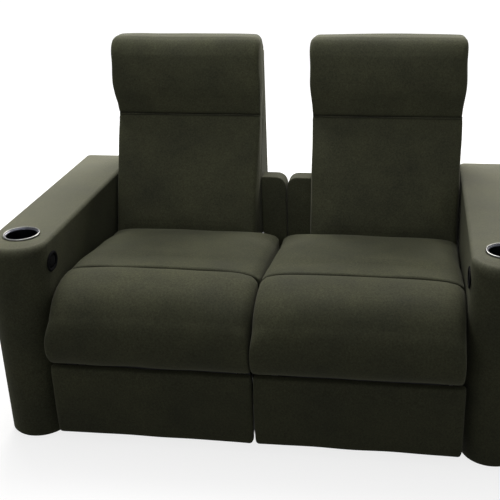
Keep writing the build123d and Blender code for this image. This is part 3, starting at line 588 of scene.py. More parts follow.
class Finish(Wiring):
    """A material around one shader, with patterns on the piece's own coordinates."""

    def __init__(self, name):
        self.material = bpy.data.materials.new(name)
        self.material.use_nodes = True
        super().__init__(self.material.node_tree)
        self.shader = self.nodes["Principled BSDF"]
        self.place = self.node("TexCoord").outputs["Object"]

    def set(self, **values):
        self.fill(self.shader, **values)
        return self

    def stretch(self, scale, move=(0, 0, 0)):
        return self.node("Mapping", Vector=self.place, Location=move, Scale=scale).outputs["Vector"]

    def noise(self, scale, detail=3.0, vector=None, roughness=0.55):
        kind = {"Scale": scale, "Detail": detail, "Roughness": roughness}
        return self.node("TexNoise", Vector=vector or self.place, **kind).outputs["Fac"]

    def marked(self, name):
        """An attribute of the mesh."""
        node = self.node("Attribute")
        node.attribute_name = name
        return node.outputs["Fac"]

    def ramp(self, factor, stops):
        node = self.node("ValToRGB", factor)
        elements = node.color_ramp.elements
        for element, (at, colour) in zip(elements, (stops[0], stops[-1])):
            element.position = at
            element.color = (*colour, 1)
        for at, colour in stops[1:-1]:
            elements.new(at).color = (*colour, 1)
        return node.outputs["Color"]

    def product(self, first, second):
        """One colour times another."""
        node = self.node("Mix", 1.0)
        node.data_type, node.blend_type = "RGBA", "MULTIPLY"
        for socket, colour in zip(MIX_COLOURS, (first, second)):
            self.links.new(colour, node.inputs[socket])
        return node.outputs[2]

    def span(self, factor, low, high):
        return self.node("MapRange", Value=factor, To_Min=low, To_Max=high).outputs["Result"]

    def bump(self, height, strength, distance):
        return self.node("Bump", Height=height, Strength=strength, Distance=distance)

    def relief(self, *bumps):
        """Bumps one over the other, the last one to the shader."""
        for below, above in zip(bumps, bumps[1:]):
            self.fill(above, Normal=below.outputs["Normal"])
        return self.set(Normal=bumps[-1].outputs["Normal"]).material

    def surface(self, tone, tones, fine, rough, bump):
        """Colour by one pattern, and roughness and relief by another."""
        self.set(Base_Color=self.ramp(tone, tones), Roughness=self.span(fine, *rough))
        return self.relief(self.bump(fine, *bump))


def made_once(function):
    """Keeps a finish under its function's name, so every piece shares one material."""

    def finish():
        return bpy.data.materials.get(function.__name__) or function(function.__name__)

    return finish


def brushed_pile(name):
    """Short brushed pile: cloudy patches where the nap lies over, mottled clumps of tufts a few
    millimetres across, fine specks of single tufts, and painted shade at seams, where the pile also
    parts."""
    cloth = bpy.context.scene.sofa_cloth
    dark, light = tuple(cloth.dark), tuple(cloth.light)
    finish = Finish(name)
    clouds = finish.noise(7.0, 5.0, roughness=0.6)
    tone = finish.ramp(clouds, [(0.30, dark), (0.72, light)])
    clumps = finish.noise(190.0, 3.0, roughness=0.6)
    mottle = finish.ramp(clumps, [(0.30, (0.75, 0.75, 0.77)), (0.70, (1.25, 1.25, 1.22))])
    tufts = finish.noise(1500.0, 2.0)
    specks = finish.ramp(tufts, [(0.32, (0.76, 0.76, 0.76)), (0.70, (1.24, 1.24, 1.21))])
    speckled = finish.product(finish.product(tone, mottle), specks)
    # painted shade: the colour falls to a fifth along seams and creases
    painted_seam_shade = finish.ramp(finish.marked("seam"), [(0.0, (1.0, 1.0, 1.0)), (1.0, (0.20, 0.20, 0.20))])
    colour, rough = finish.product(speckled, painted_seam_shade), finish.span(clouds, 0.72, 0.92)
    finish.set(Base_Color=colour, Roughness=rough, Specular_IOR_Level=0.08)
    finish.set(Sheen_Roughness=0.45, Sheen_Tint=(0.92, 0.91, 0.76, 1))
    finish.relief(finish.bump(clumps, 0.12, 0.002), finish.bump(tufts, 0.22, 0.0006))
    return finish


@made_once
def pile_cloth(name):
    """Pile of the seats, backs and posts."""
    return brushed_pile(name).set(Sheen_Weight=bpy.context.scene.sofa_cloth.sheen).material


@made_once
def arm_pile(name):
    """Pile of the arms: a sheen painted stronger where the surface turns upwards lightens the tops,
    partly as a nap laid flat there would.
    """
    cloth = bpy.context.scene.sofa_cloth
    finish = brushed_pile(name)
    painted_top_sheen = finish.span(finish.marked("nap"), cloth.sheen / 2, cloth.arm_sheen)
    return finish.set(Sheen_Weight=painted_top_sheen).material


@made_once
def stained_timber(name):
    """Dark-stained board: long grain along X with darker pores."""
    finish = Finish(name)
    grain = finish.noise(9.0, 6.0, finish.stretch((0.6, 9.0, 9.0)))
    dark, brown, pale = (0.020, 0.014, 0.010), (0.042, 0.029, 0.019), (0.065, 0.046, 0.030)
    tones = [(0.25, dark), (0.55, brown), (0.8, pale)]
    return finish.surface(grain, tones, grain, (0.5, 0.7), (0.15, 0.001))


@made_once
def black_steel(name):
    """Powder coat with a fine orange-peel surface."""
    finish = Finish(name)
    peel = finish.noise(420.0, 2.0)
    tones = [(0.3, (0.018, 0.018, 0.019)), (0.7, (0.032, 0.032, 0.034))]
    return finish.surface(finish.noise(24.0), tones, peel, (0.36, 0.52), (0.12, 0.0006))


@made_once
def dark_steel(name):
    """Blackened steel, brushed along its length."""
    finish = Finish(name).set(Metallic=1.0)
    brush = finish.noise(60.0, 5.0, finish.stretch((1.0, 0.05, 1.0)))
    tones = [(0.3, (0.050, 0.051, 0.054)), (0.7, (0.11, 0.11, 0.115))]
    return finish.surface(brush, tones, brush, (0.28, 0.46), (0.08, 0.0005))


@made_once
def bright_rim(name):
    """Satin steel of the cup holder's rim."""
    finish = Finish(name).set(Metallic=1.0)
    brush = finish.noise(700.0, 3.0)
    tones = [(0.3, (0.13, 0.13, 0.13)), (0.7, (0.19, 0.19, 0.185))]
    return finish.surface(brush, tones, brush, (0.22, 0.34), (0.05, 0.0003))


@made_once
def dark_liner(name):
    """Polished dark metal inside the cup holder."""
    finish = Finish(name).set(Metallic=1.0)
    wipe = finish.noise(35.0, 4.0, finish.stretch((1.0, 1.0, 0.2)))
    tones = [(0.3, (0.040, 0.042, 0.052)), (0.7, (0.065, 0.067, 0.080))]
    return finish.surface(wipe, tones, wipe, (0.16, 0.30), (0.04, 0.0005))


@made_once
def black_plastic(name):
    """Moulded plastic with a fine spark-eroded grain."""
    finish = Finish(name).set(Specular_IOR_Level=0.15)
    grain = finish.noise(900.0, 2.0)
    tones = [(0.3, (0.004, 0.004, 0.004)), (0.7, (0.008, 0.008, 0.008))]
    return finish.surface(finish.noise(30.0), tones, grain, (0.60, 0.78), (0.18, 0.0005))


@made_once
def matt_black(name):
    """Soft-touch plastic that hardly shines."""
    finish = Finish(name).set(Specular_IOR_Level=0.05)
    grain = finish.noise(1200.0, 2.0)
    tones = [(0.3, (0.003, 0.003, 0.0033)), (0.7, (0.006, 0.006, 0.0064))]
    return finish.surface(finish.noise(40.0), tones, grain, (0.75, 0.9), (0.12, 0.0004))


@made_once
def strap_weave(name):
    """Woven strap: ribs across the strap and a soft mottle."""
    finish = Finish(name)
    ribs = finish.node("TexWave", Vector=finish.place, Scale=160.0).outputs["Fac"]
    tones = [(0.3, (0.025, 0.024, 0.022)), (0.7, (0.045, 0.043, 0.040))]
    return finish.surface(finish.noise(50.0), tones, ribs, (0.8, 0.95), (0.3, 0.001))


SLOT_FINISHES = {
    "upholstery": pile_cloth,
    "timber": stained_timber,
    "painted_steel": black_steel,
    "bare_steel": dark_steel,
    "cup_metal": bright_rim,
    "black_plastic": black_plastic,
    "webbing": strap_weave,
    "glide_plastic": black_plastic,
}
CLOTH_COVERED = "inner_side_panel"  # boards whose rear ends show, under glued cloth


# Pieces


def side_drop(places, low, high, drop):
    """How far a seat comes down at a place across it: a slow crown plus a quick fall at its sides."""
    across = np.abs(2 * (places - low) / (high - low) - 1)
    return drop * (CROWN_SHARE * across**2 + (1 - CROWN_SHARE) * across**9)


def crown(base, low, high, drop):
    """Reshaping of a seat's sections: they come down to the sides, in full at the seam's height and
    not at all at the base."""

    def crowned(places, rings):
        share = rise(rings[..., 1] - base, SEAM[1] - base)
        rings[..., 1] -= share * side_drop(places, low, high, drop)
        return rings

    return crowned


def step_down(share):
    """Smooth step from 1 at a share of 0 to 0 at a share of 1 and above."""
    share = np.clip(share, 0, 1)
    return 1 - share**2 * (3 - 2 * share)


def from_seam(points):
    """Distance from the plane of the sewn seam across a seat."""
    return np.abs(points[:, 1] - behind(SEAM[0]))


def from_crease(points):
    """Distance along the back from the crease under the head pad."""
    along = (points[:, 1] - behind(BACK_SEAM[0])) * np.sin(LEAN)
    return np.abs(along + (points[:, 2] - BACK_SEAM[1]) * np.cos(LEAN))


def near_seam(points):
    """Hold on a seat's cover: 1 at the sewn seam, fading with the distance from it."""
    return step_down(from_seam(points) / SEAM_HOLD)


def near_crease(points):
    """Hold on a back's cover: 1 at the crease under the head pad, fading along the back."""
    return step_down(from_crease(points) / CREASE_HOLD)


def seam_dip(points):
    """Dip of the cover's top at the sewn seam: a bell curve across it."""
    return SEAM_DIP * np.exp(-((from_seam(points) / SEAM_REACH) ** 2)) * (points[:, 2] > SEAT_REAR_Z)


class SOFA_OT_seat_cushions(bpy.types.Operator):
    """Crowned seat panels behind the sewn seam"""

    bl_idname = "sofa.seat_cushions"
    bl_label = "Seat cushions"

    def execute(self, context):
        forms = context.scene.sofa_form
        low, high = SEAT_BOX[0].x, SEAT_BOX[1].x
        slope = np.tan(LEAN)
        rear = BACK_FOOT[0] - SEAT_BACK_GAP
        rear_top = (rear + (SEAT_REAR_Z - BACK_FOOT[1]) * slope, SEAT_REAR_Z)
        rear_low = (rear + (SEAT_FLOOR_Z - BACK_FOOT[1]) * slope, SEAT_FLOOR_Z)
        front_low = (SEAM[0], SEAT_FLOOR_Z)
        outline = [(SEAM, SEAT_MIDDLE, rear_top), (rear_top, rear_low)]
        outline += [(rear_low, front_low), (front_low, SEAM)]
        loop = closed_curve(outline, SEAM_SOFTEN, count=320)
        loop[:, 0] += FRONT_Y

        def held(points):
            return np.maximum(rise(SEAT_HELD - points[:, 2], HOLD_FADE), near_seam(points))

        crowned = crown(SEAT_FLOOR_Z, low, high, forms.corner_drop)
        grid = bar_grid(loop, end_stations(low, high, forms.seat_edge), crowned)
        walls = side_walls(MIDDLE_CLEAR, SEAT_LANE - ARM_CLEAR) + [back_wall(SEAT_BACK_GAP)]
        cap = context.scene.sofa_cloth.seat_swell
        sewing = {"sewn": from_seam, "dip": seam_dip}
        padded_pair("seat_panel", "seat_cushion", "seat", grid, cap, held, walls, fill=0.8, **sewing)
        return {"FINISHED"}


class SOFA_OT_front_rolls(bpy.types.Operator):
    """Front rolls that fall from the seam to the footrest"""

    bl_idname = "sofa.front_rolls"
    bl_label = "Front rolls"

    def execute(self, context):
        forms = context.scene.sofa_form
        low, high = ROLL_BOX[0].x, ROLL_BOX[1].x
        deck_front = (ROLL_HEEL[0], SEAT_FLOOR_Z)
        deck_rear = (SEAM[0] - SEAM_GAP / 2, SEAT_FLOOR_Z)
        seam = (SEAM[0] - SEAM_GAP / 2, SEAM[1])
        outline = [(seam, ROLL_CROWN, ROLL_BROW), (ROLL_BROW, ROLL_NOSE, ROLL_FOOT)]
        outline += [(ROLL_FOOT, ROLL_HEEL), (ROLL_HEEL, deck_front)]
        outline += [(deck_front, deck_rear), (deck_rear, seam)]
        loop = closed_curve(outline, SEAM_SOFTEN, count=360)
        share, height = ROLL_SQUARE
        squared = 1 - share * step_down((loop[:, 1] - ROLL_FOOT[1]) / height)
        loop[:, 0] += FRONT_Y

        def held(points):
            heel = rise(points[:, 1] - behind(ROLL_HEEL[0]) + ROLL_HELD[0], HOLD_FADE)
            under = rise(ROLL_HELD[1] - points[:, 2], HOLD_FADE)
            return np.maximum(heel * under, near_seam(points))

        crowned = crown(ROLL_FOOT[1], low, high, forms.corner_drop)
        grid = bar_grid(loop, end_stations(low, high, forms.seat_edge), crowned, squared)
        walls = side_walls(MIDDLE_CLEAR, SEAT_LANE - ARM_CLEAR)
        walls += [((0.0, 0.0, -1.0), CREASE_CLEAR - ROLL_FOOT[1])]
        cap = context.scene.sofa_cloth.seat_swell
        sewing = {"sewn": from_seam, "dip": seam_dip}
        padded_pair("roll", "front_roll", "seat", grid, cap, held, walls, fill=0.85, **sewing)
        return {"FINISHED"}


class SOFA_OT_lumbar_pads(bpy.types.Operator):
    """Flat lumbar panels of the backs"""

    bl_idname = "sofa.lumbar_pads"
    bl_label = "Lumbar pads"

    def execute(self, context):
        low, high = PAD_BOX[0].x, PAD_BOX[1].x
        top = BACK_LENGTH - SEAM_GAP
        foot, head = up_back(-PAD_BELOW, 0), up_back(top, 0)
        middle = up_back((top - PAD_BELOW) / 2, -PAD_CROWN)
        head_rear, foot_rear = up_back(top, PAD_THICK), up_back(-PAD_BELOW, PAD_THICK)
        outline = [(foot, middle, head), (head, head_rear), (head_rear, foot_rear), (foot_rear, foot)]
        loop = closed_curve(outline, SEAM_SOFTEN, count=280)
        rounded = away_from(loop, [foot_rear, head_rear, head])
        loop[:, 0] += FRONT_Y
        edge = context.scene.sofa_form.pad_edge
        grid = bar_grid(loop, end_stations(low, high, edge), edge_share=rounded)

        def held(points):
            plane, reach = back_wall(0.0)
            depth = points @ np.array(plane) - reach
            return np.maximum(rise(depth - PAD_HELD[0], PAD_HELD[1]), near_crease(points))

        cap = context.scene.sofa_cloth.pad_swell
        walls = side_walls(low - POST_CLEAR, SEAT_LANE - ARM_CLEAR)
        padded_pair("lumbar", "lumbar_pad", "back", grid, cap, held, walls, fill=0.7, sewn=from_crease)
        return {"FINISHED"}


class SOFA_OT_head_pads(bpy.types.Operator):
    """Head pads that bulge forwards over the crease and roll over the top"""

    bl_idname = "sofa.head_pads"
    bl_label = "Head pads"

    def execute(self, context):
        low, high = PAD_BOX[0].x, PAD_BOX[1].x
        seam = up_back(BACK_LENGTH + SEAM_GAP, 0)
        inner_low = up_back(BACK_LENGTH + SEAM_GAP, PAD_THICK)
        shelf = up_back(SHELL_BEND, PAD_THICK)
        rear = (HEAD_REAR, HEAD_REST[1])
        outline = [(seam, HEAD_LOW, HEAD_BULGE), (HEAD_BULGE, HEAD_BROW, HEAD_TOP)]
        outline += [(HEAD_TOP, HEAD_NAPE, rear), (rear, HEAD_REST), (HEAD_REST, shelf)]
        outline += [(shelf, inner_low), (inner_low, seam)]
        loop = closed_curve(outline, SEAM_SOFTEN, count=320)
        share, height = HEAD_SQUARE
        rounded = 1 - share * step_down((loop[:, 1] - HEAD_LOW[1]) / height)
        rounded *= away_from(loop, [seam, inner_low, shelf, HEAD_REST, rear])
        loop[:, 0] += FRONT_Y
        edge = context.scene.sofa_form.head_edge
        grid = bar_grid(loop, end_stations(low, high, edge), edge_share=rounded)
        grid[..., 0] += self.flare(grid, low, high)

        def held(points):
            rear = rise(points[:, 1] - behind(HEAD_REST[0]) + HOLD_FADE, HOLD_FADE)
            rear *= rise(HEAD_REST[1] + HEAD_HELD[0] - points[:, 2], HEAD_HELD[1])
            return np.maximum(rear, near_crease(points))

        cap = context.scene.sofa_cloth.pad_swell
        reach = HEAD_FLARE + BACK_CLEAR
        walls = side_walls(low - reach, high + reach)
        padded_pair("head", "head_pad", "back", grid, cap, held, walls, fill=0.85, sewn=from_crease)
        return {"FINISHED"}

    @staticmethod
    def flare(grid, low, high):
        """Sideways move of a head pad's points: a share of the flare that goes from -1 to 1 across
        the pad, grows smoothly from the crease upwards and fades towards the rear."""
        across = 2 * (grid[..., 0] - low) / (high - low) - 1
        risen = 1 - step_down((grid[..., 2] - BACK_SEAM[1]) / FLARE_RISE)
        start, length = FLARE_DEPTH
        return HEAD_FLARE * across * risen * step_down((grid[..., 1] - behind(start)) / length)


class SOFA_OT_crease_welts(bpy.types.Operator):
    """Sewn welts that close the crease between head and lumbar pads"""

    bl_idname = "sofa.crease_welts"
    bl_label = "Crease welts"

    def execute(self, context):
        low, high = PAD_BOX[0].x, PAD_BOX[1].x
        below, above = BACK_LENGTH - WELT_HALF, BACK_LENGTH + WELT_HALF
        front = [up_back(below, WELT_SET), up_back(above, WELT_SET)]
        corners = front + [up_back(above, PAD_THICK), up_back(below, PAD_THICK)]
        loop = closed_curve(polygon(*corners), SEAM_SOFTEN, count=120)
        loop[:, 0] += FRONT_Y
        grid = bar_grid(loop, end_stations(low, high, SEAM_SOFTEN, puff=0.0, middles=40))
        mesh = grid_mesh("right_welt", grid)
        rigid_pair("welt", "back", [], mesh, pile_cloth())
        return {"FINISHED"}


class SOFA_OT_back_shells(bpy.types.Operator):
    """Upholstered rear and side boxing of the backs"""

    bl_idname = "sofa.back_shells"
    bl_label = "Back shells"

    def execute(self, context):
        low, high = PAD_BOX[0].x, PAD_BOX[1].x
        knee = up_back(SHELL_BEND, PAD_THICK)
        front = [up_back(-SHELL_BELOW, PAD_THICK), knee, HEAD_REST, (HEAD_REAR, HEAD_REST[1])]
        corners = front + [BACK_TAIL, up_back(-SHELL_FOOT, SHELL_BACK)]
        loop = closed_curve(polygon(*corners), SEAM_SOFTEN, count=320)
        rounded = away_from(loop, front)
        loop[:, 0] += FRONT_Y
        grid = bar_grid(loop, end_stations(low, high, SHELL_EDGE, puff=0.0), edge_share=rounded)
        mesh = grid_mesh("right_back_shell", grid)
        rigid_pair("back_shell", "back", ["back_cover"], mesh, pile_cloth())
        return {"FINISHED"}


class SOFA_OT_rear_posts(bpy.types.Operator):
    """Low posts between the backs, with a rounded top corner beside the middle"""

    bl_idname = "sofa.rear_posts"
    bl_label = "Rear posts"

    def execute(self, context):
        low, high = POST_BOX
        side = high.x + POST_PROUD
        bend = POST_CORNER * (1 - np.sqrt(0.5))
        start = (low.x, high.z - POST_CORNER)
        mid = (low.x + bend, high.z - bend)
        end = (low.x + POST_CORNER, high.z)
        outline = [(start, mid, end), (end, (side, high.z)), ((side, high.z), (side, low.z))]
        outline += [((side, low.z), (low.x, low.z)), ((low.x, low.z), start)]
        loop = closed_curve(outline, POST_EDGE, count=160)
        grid = bar_grid(loop, end_stations(low.y, high.y, POST_EDGE, middles=14))
        grid = grid[..., [1, 0, 2]]
        mesh = grid_mesh("right_post", grid)
        for piece in rigid_pair("post", "base", ["rear_post_cover"], mesh, pile_cloth()):
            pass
        return {"FINISHED"}


class SOFA_OT_footrest_pads(bpy.types.Operator):
    """Flat footrest panels with rounded lower corners"""

    bl_idname = "sofa.footrest_pads"
    bl_label = "Footrest pads"

    def execute(self, context):
        low, high = FOOT_BOX
        front, rear, top = low.y, high.y, high.z + FOOT_RISE
        foot, head = (front + FOOT_BOW, low.z), (front + FOOT_BOW, top)
        middle = (front, (low.z + top) / 2)
        top_rear, low_rear = (rear, top), (rear, low.z)
        outline = [(foot, middle, head), (head, top_rear), (top_rear, low_rear), (low_rear, foot)]
        loop = closed_curve(outline, FOOT_BOW, count=240)

        def rounded(places, rings):
            past = np.abs(places - (low.x + high.x) / 2) - (high.x - low.x) / 2 + FOOT_CORNER
            lift = FOOT_CORNER * (1 - np.sqrt(1 - rise(past, FOOT_CORNER) ** 2))
            rings[..., 1] += rise(middle[1] - rings[..., 1], middle[1] - low.z) ** 3 * lift
            return rings

        def held(points):
            return rise(points[:, 1] - (rear - FOOT_HELD[0]), FOOT_HELD[1])

        stations = end_stations(low.x - MIDDLE_CLEAR, high.x, FOOT_EDGE, middles=120)
        grid = bar_grid(loop, stations, rounded)
        walls = side_walls(MIDDLE_CLEAR, high.x + FOOT_CLEAR)
        walls += [((0.0, 0.0, 1.0), top + FOOT_CLEAR)]
        cap = context.scene.sofa_cloth.pad_swell / 2
        padded_pair("foot_panel", "footrest_pad", "footrest", grid, cap, held, walls, fill=0.6)
        return {"FINISHED"}


ARM_POINTS = 176  # about what the plan of an arm has, half of them at its front
ARM_ROWS = (14, 40, 12, 16)  # of its foot, walls, rounded edge and top
ARM_CORNER = 0.014  # rounding of an arm's rear corners
ARM_FOOT = (0.003, 0.004)  # bevel of its foot, inwards and upwards
ARM_BEND = 1.5  # how quickly the top's rounding grows towards the front end
ARM_WELD = 0.0004  # points nearer to each other than this become one


def arm_loop(inset):
    """Plan of an arm drawn in by inset, as points by share of a fixed walk: half circle at the
    front, a side, the squared rear and the other side."""
    radius = ARM_WIDTH / 2
    turn = np.linspace(np.pi, 2 * np.pi, ARM_POINTS // 2)
    front = np.column_stack([np.cos(turn), np.sin(turn)]) * (radius - inset)
    front[:, 1] += radius
    corner = max(ARM_CORNER - inset, 0.0)
    rear = ARM_DEPTH - inset
    side = radius - inset
    quarter = np.linspace(0, np.pi / 2, 8)
    bend = np.column_stack([np.cos(quarter), np.sin(quarter)]) * corner
    right = bend + [side - corner, rear - corner]
    left = (right * [-1, 1])[::-1]
    run = np.linspace(radius, rear - corner, ARM_POINTS // 4)[1:-1]
    climb = np.column_stack([np.full(len(run), side), run])
    back = np.column_stack([np.linspace(side - corner, corner - side, 14)[1:-1], np.full(12, rear)])
    return np.vstack([front, climb, right, back, left, (climb * [-1, 1])[::-1]])


WELL_RIM = np.radians(60)  # turn of a face above which its edge stays sharp, as round a well
CUP_HOLE = 0.0465  # radius of the hole for a cup holder
CUP_HOLE_PAST = (0.004, 0.05)  # how far the hole goes under the cup holder and over it
CUP_HOLE_POINTS = 72
CUP_BORE = 0.043  # radius inside the liner
LINER_WALL = 0.002
LINER_FLOOR = 0.003
LINER_RINGS = (0.02, 0.002)  # radii of the rings in the liner's floor
LINER_ROWS = 8  # of each of its two bends
LINER_FOOT = 0.008  # rounding of the liner's floor
RIM_BEAD = 0.0045  # width of the rolled rim
RIM_ROWS = 14
RIM_PROUD = 0.001  # how far the rim stands over the cup holder's box
RIM_DEPTH = 0.006  # from the rim's top to its underside
MOUTH_DEPTH = 0.003  # from the rim's top to where the liner starts
POCKET_DEPTH = 0.012  # behind the arm's face, so that a rocker can be pressed in
POCKET_BACK = 0.0018  # wall behind the pocket
POCKET_INSET = 0.010  # from a bezel's outer line to its pocket
HOLE_INSET = 0.003  # from a bezel's outer line to the hole in the arm's cloth under it
BEZEL_BEAD = (0.0045, 0.004)  # half the width of a bezel's rim, and its height
BEZEL_ROWS = 12
BEZEL_BODY = (0.004, 0.005)  # how far a bezel's body is drawn in at the arm's face and at its rear
OVAL_POINTS = 72
OVAL_SLIT = 0.001  # half height of the slit that closes an oval
ROCKER_INSET = 0.012  # from a bezel's outer line to its rocker
ROCKER_FACES = (0.003, 0.001)  # rear and rim of a rocker behind the arm's face
ROCKER_DOME = 0.003  # rise of a rocker's middle
ROCKER_ROWS = 8
ROCKER_FILL = 0.98  # share of a rocker's half height over which its dome bends


def lathe(centre, outline, steps=96):
    """Surface of revolution about an upright line: each outline point is (radius, height)."""
    turn = np.linspace(0, 2 * np.pi, steps, endpoint=False)
    outline = np.array(outline)
    grid = np.empty((len(outline), steps, 3))
    grid[..., 0] = centre[0] + outline[:, :1] * np.cos(turn)
    grid[..., 1] = centre[1] + outline[:, :1] * np.sin(turn)
    grid[..., 2] = outline[:, 1:]
    return grid


def oval_rings(rings):
    """Grid of ovals in the arm's face: each ring is (x, half length, half height) of a stadium."""
    centre = (BEZEL_BOX[0] + BEZEL_BOX[1]) / 2
    turn = np.linspace(0, 2 * np.pi, OVAL_POINTS, endpoint=False)
    x, half, tall = np.array(rings).T[..., None]
    grid = np.empty((len(rings), OVAL_POINTS, 3))
    grid[..., 0] = x
    grid[..., 1] = centre.y + tall * np.cos(turn) + (half - tall) * np.sign(np.cos(turn))
    grid[..., 2] = centre.z + tall * np.sin(turn)
    return grid


class SOFA_OT_arms(bpy.types.Operator):
    """Upholstered arms with half-round fronts, crowned tops and a well for the cup"""

    bl_idname = "sofa.arms"
    bl_label = "Arms"

    def execute(self, context):
        forms = context.scene.sofa_form
        radius = ARM_WIDTH / 2
        top = ARM_HIGH.z - forms.arm_crown
        foot_rows, wall_rows, edge_rows, top_rows = ARM_ROWS
        insets = radius * (1 - np.linspace(0, 1, foot_rows, endpoint=False))
        heights = np.linspace(ARM_LOW.z + ARM_FOOT[1], top - forms.arm_front_edge, wall_rows)
        rows = [self.ring(inset, ARM_LOW.z) for inset in (*insets, ARM_FOOT[0])]
        rows += [self.ring(0.0, height) for height in heights]
        rows += [self.edge_ring(forms, top, angle) for angle in np.linspace(0, np.pi / 2, edge_rows)]
        edge = rows[-1]
        shares = np.linspace(0, 1, top_rows)[1:]
        rows += [self.top_ring(edge, share, forms.arm_crown) for share in shares]
        grid = np.stack(rows)
        grid[..., 0] += SEAT_LANE + radius
        grid[..., 1] += FRONT_Y
        arm = add_piece("arm_blank", grid_mesh("arm_blank", grid, False))
        weld = arm.modifiers.new("Middle lines", "WELD")
        weld.merge_threshold = ARM_WELD
        cutters = [add_piece(mesh.name, mesh) for mesh in (self.cup_cutter(), self.release_cutter())]
        for cutter in cutters:
            cut = arm.modifiers.new("Well", "BOOLEAN")
            cut.object = cutter
            cut.operation = "DIFFERENCE"
            cut.solver = "EXACT"
        graph = bpy.context.evaluated_depsgraph_get()
        mesh = bpy.data.meshes.new_from_object(arm.evaluated_get(graph))
        for spare in (arm, *cutters):
            bpy.data.objects.remove(spare)
        smooth_faces(mesh)
        mesh.set_sharp_from_angle(angle=WELL_RIM)
        mesh.name = "right_arm_cloth"
        # painted sheen: how far the surface turns upwards, which brightens the arms' tops
        nap = mesh.attributes.new("nap", "FLOAT", "POINT")
        nap.data.foreach_set("value", np.clip(vertex_normals(mesh)[:, 2], 0, 1) ** 2)
        for piece in rigid_pair("arm_cloth", "base", ["arm_cover"], mesh, arm_pile()):
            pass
        return {"FINISHED"}

    @staticmethod
    def ring(inset, height):
        """The arm's plan, drawn in, at one height."""
        plan = arm_loop(inset)
        return np.column_stack([plan, np.full(len(plan), height)])

    @staticmethod
    def edge_ring(forms, top, angle):
        """Ring of the top's rounding, whose radius grows from the sides to the front end."""
        plan = arm_loop(0.0)
        lean = np.clip(1 - plan[:, 1] / (ARM_WIDTH / 2), 0, 1) ** ARM_BEND
        radius = forms.arm_edge + (forms.arm_front_edge - forms.arm_edge) * lean
        inset = radius * (1 - np.cos(angle))
        way = (arm_loop(ARM_WIDTH / 4) - plan) / (ARM_WIDTH / 4)
        height = top - radius * (1 - np.sin(angle))
        return np.column_stack([plan + way * inset[:, None], height])

    @staticmethod
    def top_ring(edge, share, crown):
        """Ring of the top between its rounded edge and its middle line, rising as a parabola."""
        middle = arm_loop(ARM_WIDTH / 2)
        plan = edge[:, :2] + share * (middle - edge[:, :2])
        return np.column_stack([plan, edge[:, 2] + crown * (1 - (1 - share) ** 2)])

    @staticmethod
    def cup_cutter():
        """Upright cylinder from under the cup holder to above the arm."""
        centre = (CUP_BOX[0] + CUP_BOX[1]) / 2
        ends = CUP_BOX[0].z - CUP_HOLE_PAST[0], CUP_BOX[1].z + CUP_HOLE_PAST[1]
        return grid_mesh("cup_cutter", lathe(centre, [(CUP_HOLE, z) for z in ends], CUP_HOLE_POINTS))

    @staticmethod
    def release_cutter():
        """Oval bar through the arm's inner face."""
        half, tall = (BEZEL_BOX[1] - BEZEL_BOX[0]).yz / 2 - Vector((HOLE_INSET, HOLE_INSET))
        ends = SEAT_LANE - POCKET_DEPTH, SEAT_LANE + 2 * POCKET_DEPTH
        return grid_mesh("release_cutter", oval_rings([(x, half, tall) for x in ends]))


class SOFA_OT_cup_holders(bpy.types.Operator):
    """Cup holders: a bright rolled rim and a dark liner"""

    bl_idname = "sofa.cup_holders"
    bl_label = "Cup holders"

    def execute(self, context):
        low, high = CUP_BOX
        centre = ((low.x + high.x) / 2, (low.y + high.y) / 2)
        rim_outer = (high.x - low.x) / 2
        rim_inner = rim_outer - RIM_BEAD
        top = high.z + RIM_PROUD
        turn = np.linspace(0, np.pi, RIM_ROWS)
        bead = RIM_BEAD / 2
        rim = np.column_stack([rim_inner + bead * (1 + np.cos(turn)), top - bead + bead * np.sin(turn)])
        under = [(rim_inner, top - RIM_DEPTH), (rim_outer, top - RIM_DEPTH)]
        grid = lathe(centre, np.vstack([rim, under, rim[:1]]))
        mesh = grid_mesh("right_cup_rim", grid, False)
        rigid_pair("cup_rim", "base", [], mesh, bright_rim())
        floor = low.z + LINER_FLOOR
        lip = np.linspace(0, np.pi / 2, LINER_ROWS)
        over, along = 1 - np.cos(lip), np.sin(lip)
        flare = rim_inner - CUP_BORE
        mouth = np.column_stack([rim_inner - flare * along, top - MOUTH_DEPTH - flare * over])
        foot = np.column_stack([CUP_BORE - LINER_FOOT * over, floor + LINER_FOOT * (1 - along)])
        wall = CUP_BORE + LINER_WALL
        outside = [(LINER_RINGS[1], low.z), (wall, low.z), (wall, top - RIM_DEPTH - LINER_WALL)]
        outside += [(rim_inner, top - RIM_DEPTH)]
        inside = [(radius, floor) for radius in LINER_RINGS]
        grid = lathe(centre, np.vstack([outside, mouth, foot, inside]))
        mesh = grid_mesh("right_cup_liner", grid)
        rigid_pair("cup_liner", "base", ["cup_holder"], mesh, dark_liner())
        return {"FINISHED"}


